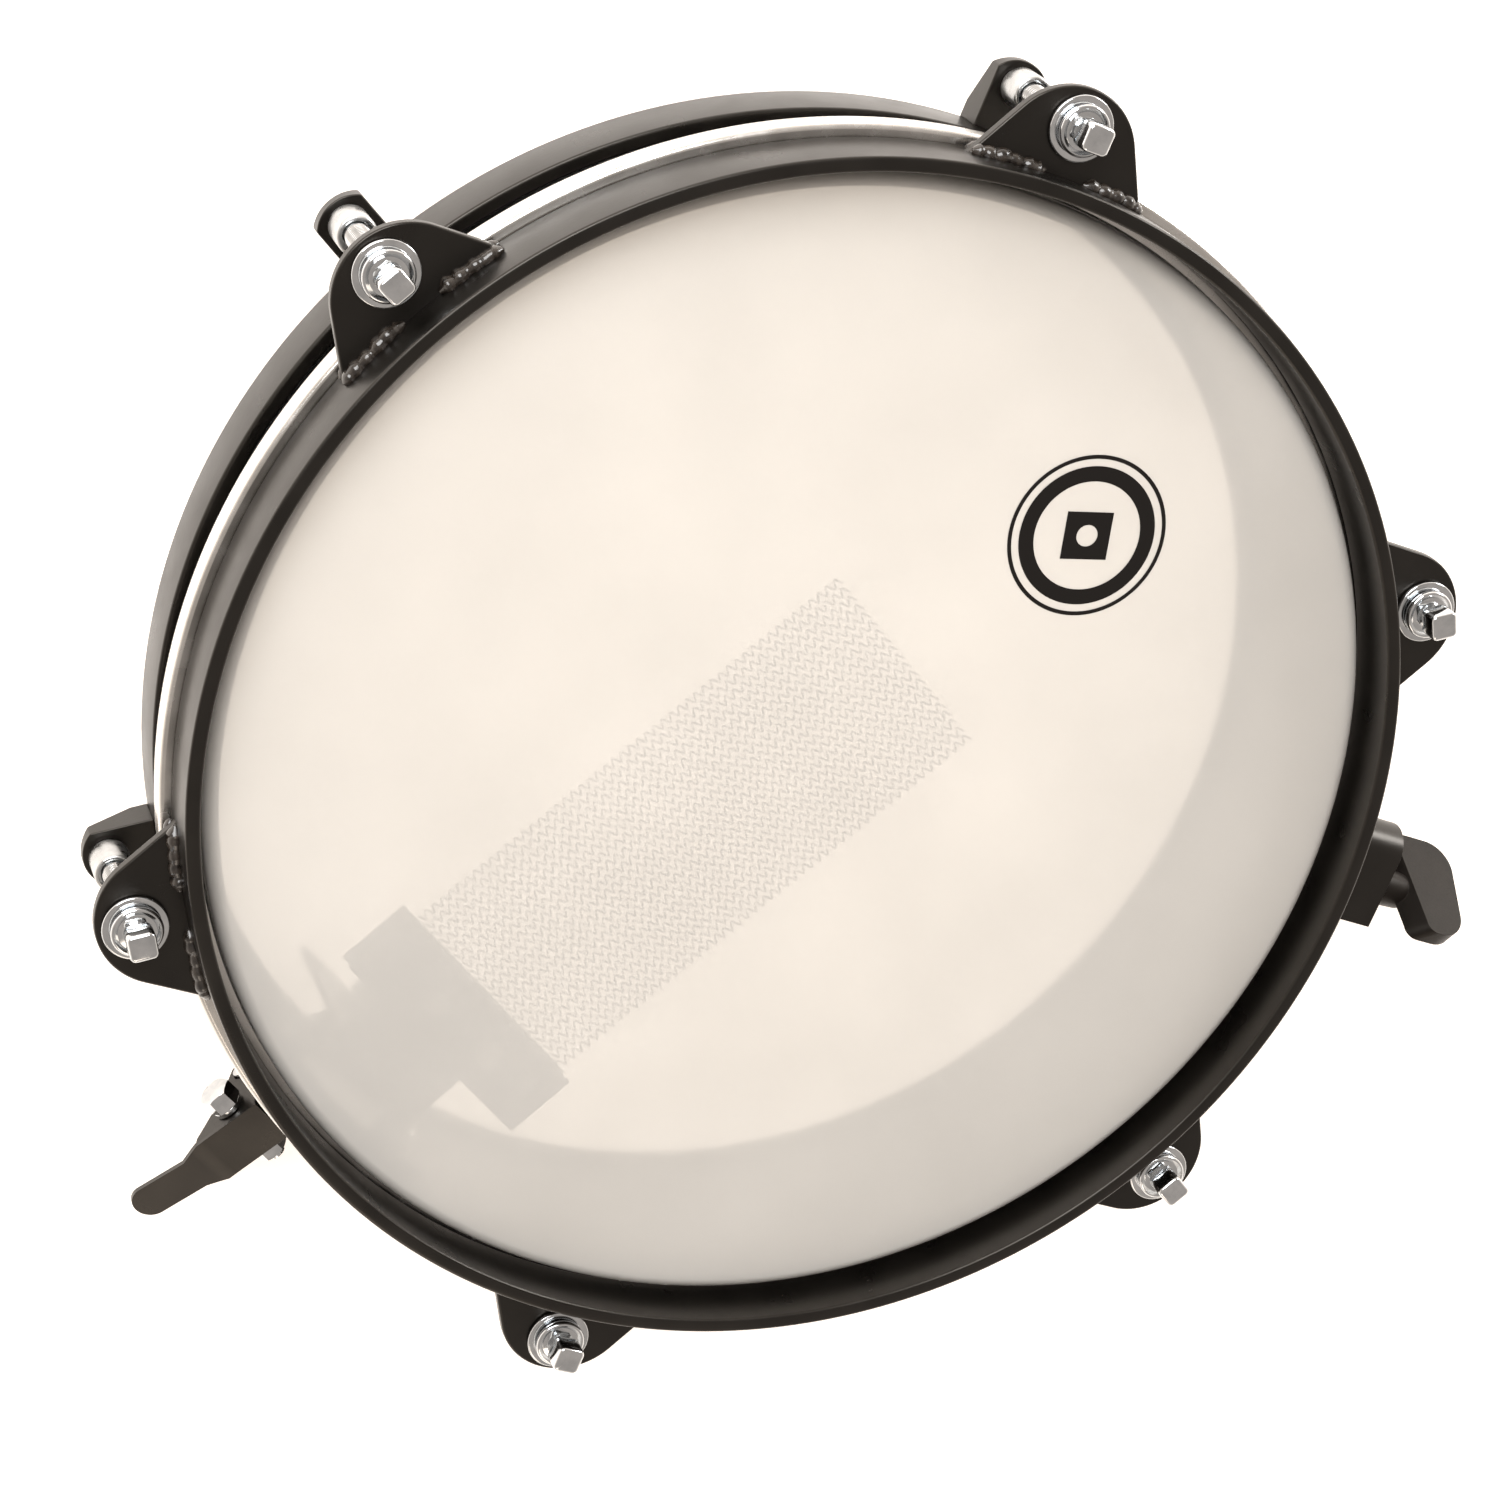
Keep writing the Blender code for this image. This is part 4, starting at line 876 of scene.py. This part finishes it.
def coil(x):
    root = Vector((x, SNARE_LOW.y + 16 * MM, SNARE_LOW.z + COIL_R))
    tip = Vector((x, SNARE_HIGH.y, SNARE_HIGH.z - COIL_R))
    along = tip - root
    turns = along.length / COIL_PITCH
    steps = int(turns * 10)
    centre_r = COIL_R - WIRE_R
    path = []
    for i in range(steps + 1):
        a = math.tau * turns * i / steps
        turn = Vector((math.cos(a) * centre_r, 0, math.sin(a) * centre_r))
        path.append(root + along * (i / steps) + turn)
    return swept(path, [WIRE_R] * len(path), sides=5)


def comb_bar():
    """The end plate that the wires are soldered to, with its two screw holes."""
    half = WIRES * WIRE_PITCH / 2
    plate = slab([(SNARE_X - half, SNARE_LOW.y), (SNARE_X + half, SNARE_LOW.y),
                  (SNARE_X + half, SNARE_LOW.y + 15.6 * MM), (SNARE_X - half, SNARE_LOW.y + 15.6 * MM)],
                 SNARE_LOW.z, SNARE_LOW.z + 2 * COIL_R)
    holes = []
    for number in (1, 2):
        low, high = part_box(f"snare_clamp_screw_{number}")
        at = (low + high) / 2
        holes.append(bar(1.8 * MM, (at.x, at.y, SNARE_LOW.z - MM), (at.x, at.y, SNARE_LOW.z + 4 * MM)))
    return carved(plate, *holes)


coils = [coil(SNARE_X + (i - (WIRES - 1) / 2) * WIRE_PITCH) for i in range(WIRES)]
piece("snare_coils", merged(*coils), WIRE, "carrier", ["snare_wires"])
piece("snare_end_plate", comb_bar(), WIRE, "carrier", (), 0.2 * MM)
print(WIRES, "wires,", round((SNARE_HIGH.y - SNARE_LOW.y) / MM, 1), "mm long with their plate")

# %% [markdown]
# ## Throw-off lever
# The lever is folded from one sheet: a face plate that bends down to a rounded arm, and two
# cheeks that hang on the pivot bolt. The plate is drawn as the side view of the bent sheet and
# kept only where the plan of the arm covers it. The cheeks are joined on, the holes cut, and all
# edges rounded.

# %% Throw-off frame
PIVOT_LOW, PIVOT_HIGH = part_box("throw_off_bolt")
PIVOT_Z = (PIVOT_LOW.z + PIVOT_HIGH.z) / 2
LEVER_LOW, LEVER_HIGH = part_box("throw_off_lever")
LEVER_HALF = (LEVER_HIGH.x - LEVER_LOW.x) / 2
TIP_R = reach("throw_off_lever")[1]
PIVOT_R = (reach("throw_off_bolt")[0] + reach("throw_off_bolt")[1]) / 2
LINK_R = (reach("throw_off_link_pin")[0] + reach("throw_off_link_pin")[1]) / 2
SHEET = 1.5 * MM
PIVOT_HOLE_R = 2.3 * MM
LINK_HOLE_R = 2.1 * MM
print("pivot at", round(PIVOT_R / MM, 1), "mm from the axis, height", round(PIVOT_Z / MM, 1), "mm")


def side_slab(outline, low, high):
    """A side view, as (distance, height) points towards the throw-off, made thick along X."""
    place = Matrix.Translation(AXIS) @ Matrix(((0, 0, 1, 0), (-1, 0, 0, 0), (0, 1, 0, 0), (0, 0, 0, 1)))
    return slab(outline, low, high, place)


def cross_bar(r, at_r, at_z, half, sides=32):
    """A bar along X in the throw-off's place."""
    middle = AXIS + Vector((0, -at_r, at_z))
    return bar(r, middle - Vector((half, 0, 0)), middle + Vector((half, 0, 0)), sides)


# %% Lever
def lever():
    heel_r = PIVOT_R - 5.7 * MM
    heel_z = PIVOT_Z + 6.35 * MM
    kink_r = PIVOT_R + 10.8 * MM
    kink_z = heel_z - 2.4 * MM
    tip_z = kink_z - 6.8 * MM
    upper = [(heel_r, heel_z), (kink_r - 2 * MM, kink_z + 0.25 * MM), (kink_r, kink_z),
             (kink_r + 2 * MM, kink_z - 0.75 * MM), (TIP_R, tip_z)]
    lower = [(r, z - SHEET) for r, z in reversed(upper)]
    plate = side_slab(upper + lower, -LEVER_HALF, LEVER_HALF)
    side = 0.4 * MM
    tip_half = 4.0 * MM
    shoulder = kink_r + 5 * MM
    plan = [(-LEVER_HALF, -heel_r + MM), (-LEVER_HALF, -kink_r)]
    plan += arc(side, -TIP_R + tip_half, tip_half, 180, 360, 24)
    plan.insert(2, (side - tip_half, -shoulder))
    plan += [(side + tip_half, -shoulder), (LEVER_HALF, -kink_r), (LEVER_HALF, -heel_r + MM)]
    keep = slab(plan, 0, RIM, Matrix.Translation(AXIS))
    face = carved(plate, keep, operation="INTERSECT")
    tail = arc(LINK_R, LINK_Z, 3.8 * MM, 180, 300, 16)
    cheek = [(heel_r, heel_z - 0.8 * MM)] + tail
    cheek += [(PIVOT_R + 2 * MM, PIVOT_Z - 5 * MM), (kink_r - 0.8 * MM, kink_z - SHEET - MM)]
    cheek += [(kink_r, kink_z - 0.8 * MM)]
    cheeks = [side_slab(cheek, -LEVER_HALF, -LEVER_HALF + SHEET),
              side_slab(cheek, LEVER_HALF - SHEET, LEVER_HALF)]
    combined(face, cheeks, "UNION")
    holes = [cross_bar(PIVOT_HOLE_R, PIVOT_R, PIVOT_Z, LEVER_HALF + MM),
             cross_bar(LINK_HOLE_R, LINK_R, LINK_Z, LEVER_HALF + MM)]
    return combined(face, holes, "DIFFERENCE")


made = piece("lever_sheet", lever(), POWDER_COAT, "lever", ["throw_off_lever"],
             0.4 * MM)
print("lever", len(made.data.polygons), "faces")

# %% [markdown]
# ## Pivot bolt and nut
# A short bolt with a six-sided head carries the lever. A real head is chamfered where its corners
# meet the top, which is the same as keeping the part of the prism inside a wide cone, so the
# prism is intersected with a turned shape.

# %% Hex hardware
HEX_R = 4.0 * MM


def hex_prism(r, start, end, chamfer=0.5 * MM):
    """A six-sided head or nut between two points, with both rims of corners chamfered."""
    start, end = Vector(start), Vector(end)
    length = (end - start).length
    body = bar(r, start, end, 6)
    cone = [(0, 0), (r - chamfer, 0), (r, chamfer * 0.6)]
    cone += [(r, length - chamfer * 0.6), (r - chamfer, length), (0, length)]
    keep = spun(cone, 48, Vector())
    keep.transform(Matrix.Translation(start) @ (end - start).to_track_quat("Z", "Y").to_matrix().to_4x4())
    return carved(body, keep, operation="INTERSECT")


def as_bmesh(obj):
    """The object's mesh as a bmesh, and the object removed."""
    bm = bmesh.new()
    bm.from_mesh(obj.data)
    bpy.data.objects.remove(obj, do_unlink=True)
    return bm


def pivot_bolt():
    face = LEVER_HALF + 0.3 * MM
    centre = AXIS + Vector((0, -PIVOT_R, PIVOT_Z))
    left = Vector((-1, 0, 0))
    far_end = AXIS + Vector((PIVOT_LOW.x - AXIS.x, -PIVOT_R, PIVOT_Z))
    head = as_bmesh(hex_prism(HEX_R, centre + left * (face + 1.0 * MM), far_end))
    collar = bar(HEX_R - 0.4 * MM, centre + left * face, centre + left * (face + 1.1 * MM), 48)
    shank = bar(2.0 * MM, centre + left * (face - MM), Vector((PIVOT_HIGH.x, centre.y, centre.z)))
    return merged(head, collar, shank)


piece("pivot_bolt", pivot_bolt(), CHROME, "drum", ["throw_off_bolt"], 0.12 * MM, 2)
low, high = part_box("throw_off_nut")
centre = (low + high) / 2
nut = hex_prism(HEX_R, (low.x, centre.y, centre.z), (high.x, centre.y, centre.z))
piece("pivot_nut", nut, CHROME, "drum", ["throw_off_nut"], 0.12 * MM, 2)
print("bolt and nut made")

# %% [markdown]
# ## Stand clamp
# A block welded to the rear ring takes the rod of a stand in a square passage. Its +t end is a
# half-round and its other end is flat. The wing knob outside it turns a stud that presses a pad
# on the rod. The block is one outline pushed out from the ring, and its passage and bore are cut.

# %% Clamp frame
OUT = Vector((math.cos(CLAMP_TURN), math.sin(CLAMP_TURN), 0))
ALONG = Vector((-OUT.y, OUT.x, 0))
UP = Vector((0, 0, 1))
BLOCK_LOW, BLOCK_HIGH = heights("stand_clamp_block")
block_points = [v.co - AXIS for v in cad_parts["stand_clamp_block"].data.vertices]
BLOCK_END = max(p.dot(OUT) for p in block_points)
BLOCK_SIDES = (min(p.dot(ALONG) for p in block_points), max(p.dot(ALONG) for p in block_points))
stud_points = [v.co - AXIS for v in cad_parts["clamp_stud"].data.vertices]
CLAMP_Z = (max(p.z for p in stud_points) + min(p.z for p in stud_points)) / 2
CLAMP_T = (max(p.dot(ALONG) for p in stud_points) + min(p.dot(ALONG) for p in stud_points)) / 2
pad_points = [v.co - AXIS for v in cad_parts["clamp_pad"].data.vertices]
SEAT = min(p.dot(OUT) for p in pad_points) - 12.7 * MM
print("clamp reaches", round(BLOCK_END / MM, 1), "mm, sides", [round(s / MM, 1) for s in BLOCK_SIDES])


def clamp_block():
    half = (BLOCK_HIGH - BLOCK_LOW) / 2
    outline = [(BLOCK_SIDES[0], BLOCK_LOW)]
    outline += arc(BLOCK_SIDES[1] - half, BLOCK_LOW + half, half, -90, 90, 32)
    outline += [(BLOCK_SIDES[0], BLOCK_HIGH)]
    stand = Matrix((ALONG, UP, OUT)).transposed().to_4x4()
    block = slab(outline, HOOP_R - 0.3 * MM, BLOCK_END, Matrix.Translation(AXIS) @ stand)
    half_w = 6.65 * MM
    far = SEAT + 12.7 * MM + 6.3 * MM
    plan = [(SEAT, -half_w), (far, -half_w), (far, half_w), (SEAT, half_w)]
    turn = Matrix.Translation(AXIS) @ Matrix.Rotation(CLAMP_TURN, 4, "Z")
    passage = slab(plan, BLOCK_LOW - MM, BLOCK_HIGH + MM, turn)
    centre = AXIS + ALONG * CLAMP_T + UP * CLAMP_Z
    bore = bar(3.3 * MM, centre + OUT * (far - MM), centre + OUT * (BLOCK_END + MM))
    return carved(block, passage, bore)


piece("clamp_block", clamp_block(), POWDER_COAT, "drum",
      ["stand_clamp_block"], 0.6 * MM)

# %% [markdown]
# ## Wing knob
# The knob is a thick flat wing across the front of a round hub, and its inner edge leans away
# from the block. The wing's front outline is narrower there than its back one, so the inner side
# slopes. It is joined to a turned hub, and all its edges are rounded, as a moulding's are.

# %% Knob
KNOB_H = 21.2 * MM
KNOB_SPAN = 26.6 * MM
KNOB_T = 4.6 * MM
HUB_R = 4.6 * MM
HUB_H = 8.0 * MM
NEAR = 2.0 * MM
FAR = 7.0 * MM
INNER = 3.0 * MM
FACET = 3.4 * MM
PROUD = 0.2 * MM
CORNER = 7.0 * MM
KNOB_ROLL = math.radians(57)


def blade_plan(inset):
    """The wing's outline, with its inner edge moved out by inset."""
    half = KNOB_SPAN / 2
    plan = arc(KNOB_H - CORNER, half - CORNER, CORNER, 0, 90, 14)
    plan += arc(FAR + INNER + inset, half - INNER, INNER, 90, 180, 8)
    plan += arc(NEAR + INNER + inset, INNER - half, INNER, 180, 270, 8)
    plan += arc(KNOB_H - CORNER, CORNER - half, CORNER, -90, 0, 14)
    return plan


def wing_knob():
    face = -HUB_R - PROUD
    wing = solid(slab(blade_plan(FACET), face, face + KNOB_T, top=blade_plan(0.0)))
    hub_end = HUB_H + 2 * MM
    hub = [(0, 0), (HUB_R - 0.4 * MM, 0), (HUB_R, 0.4 * MM), (HUB_R - 0.3 * MM, HUB_H - MM)]
    hub += [(HUB_R - 1.3 * MM, hub_end), (0, hub_end)]
    turned = spun(hub, 64, Vector())
    turned.transform(Matrix.Rotation(math.pi / 2, 4, "Y"))
    combined(wing, [turned], "UNION")
    base = BLOCK_END + 0.3 * MM
    span = -ALONG * math.cos(KNOB_ROLL) + UP * math.sin(KNOB_ROLL)
    place = Matrix((OUT, span, OUT.cross(span))).transposed().to_4x4()
    seat = AXIS + OUT * base + ALONG * CLAMP_T + UP * CLAMP_Z
    wing.data.transform(Matrix.Translation(seat) @ place)
    return wing


made = piece("wing_knob", wing_knob(), NYLON, "clamp_screw",
             ["clamp_wing_knob"], 0.7 * MM, 4)
print("knob", len(made.data.polygons), "faces")

# %% [markdown]
# ## What stays from the model
# The parts inside the drum and between the plates are already the right shape, and only need
# their finishes. Each one's slots are given the same materials as the pieces round them.

# %% Finishes for the model's own parts
KEPT = {
    POWDER_COAT: ["strainer_bracket", "snare_carrier", "snare_clamp_lower", "snare_clamp_upper",
                  "throw_off_tongue"],
    ZINC: ["snare_hinge_pin", "strainer_screw_1", "strainer_screw_2", "strainer_nut_1", "strainer_nut_2",
           "snare_clamp_screw_1", "snare_clamp_screw_2", "pull_rod", "pull_rod_nut_1", "pull_rod_nut_2",
           "clamp_pad", "clamp_stud"],
    CHROME: ["throw_off_link_pin"],
}
for finish, names in KEPT.items():
    for name in names:
        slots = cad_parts[name].data.materials
        slots.clear()
        slots.append(finish)
print("finished", sum(len(names) for names in KEPT.values()), "of the model's own parts")
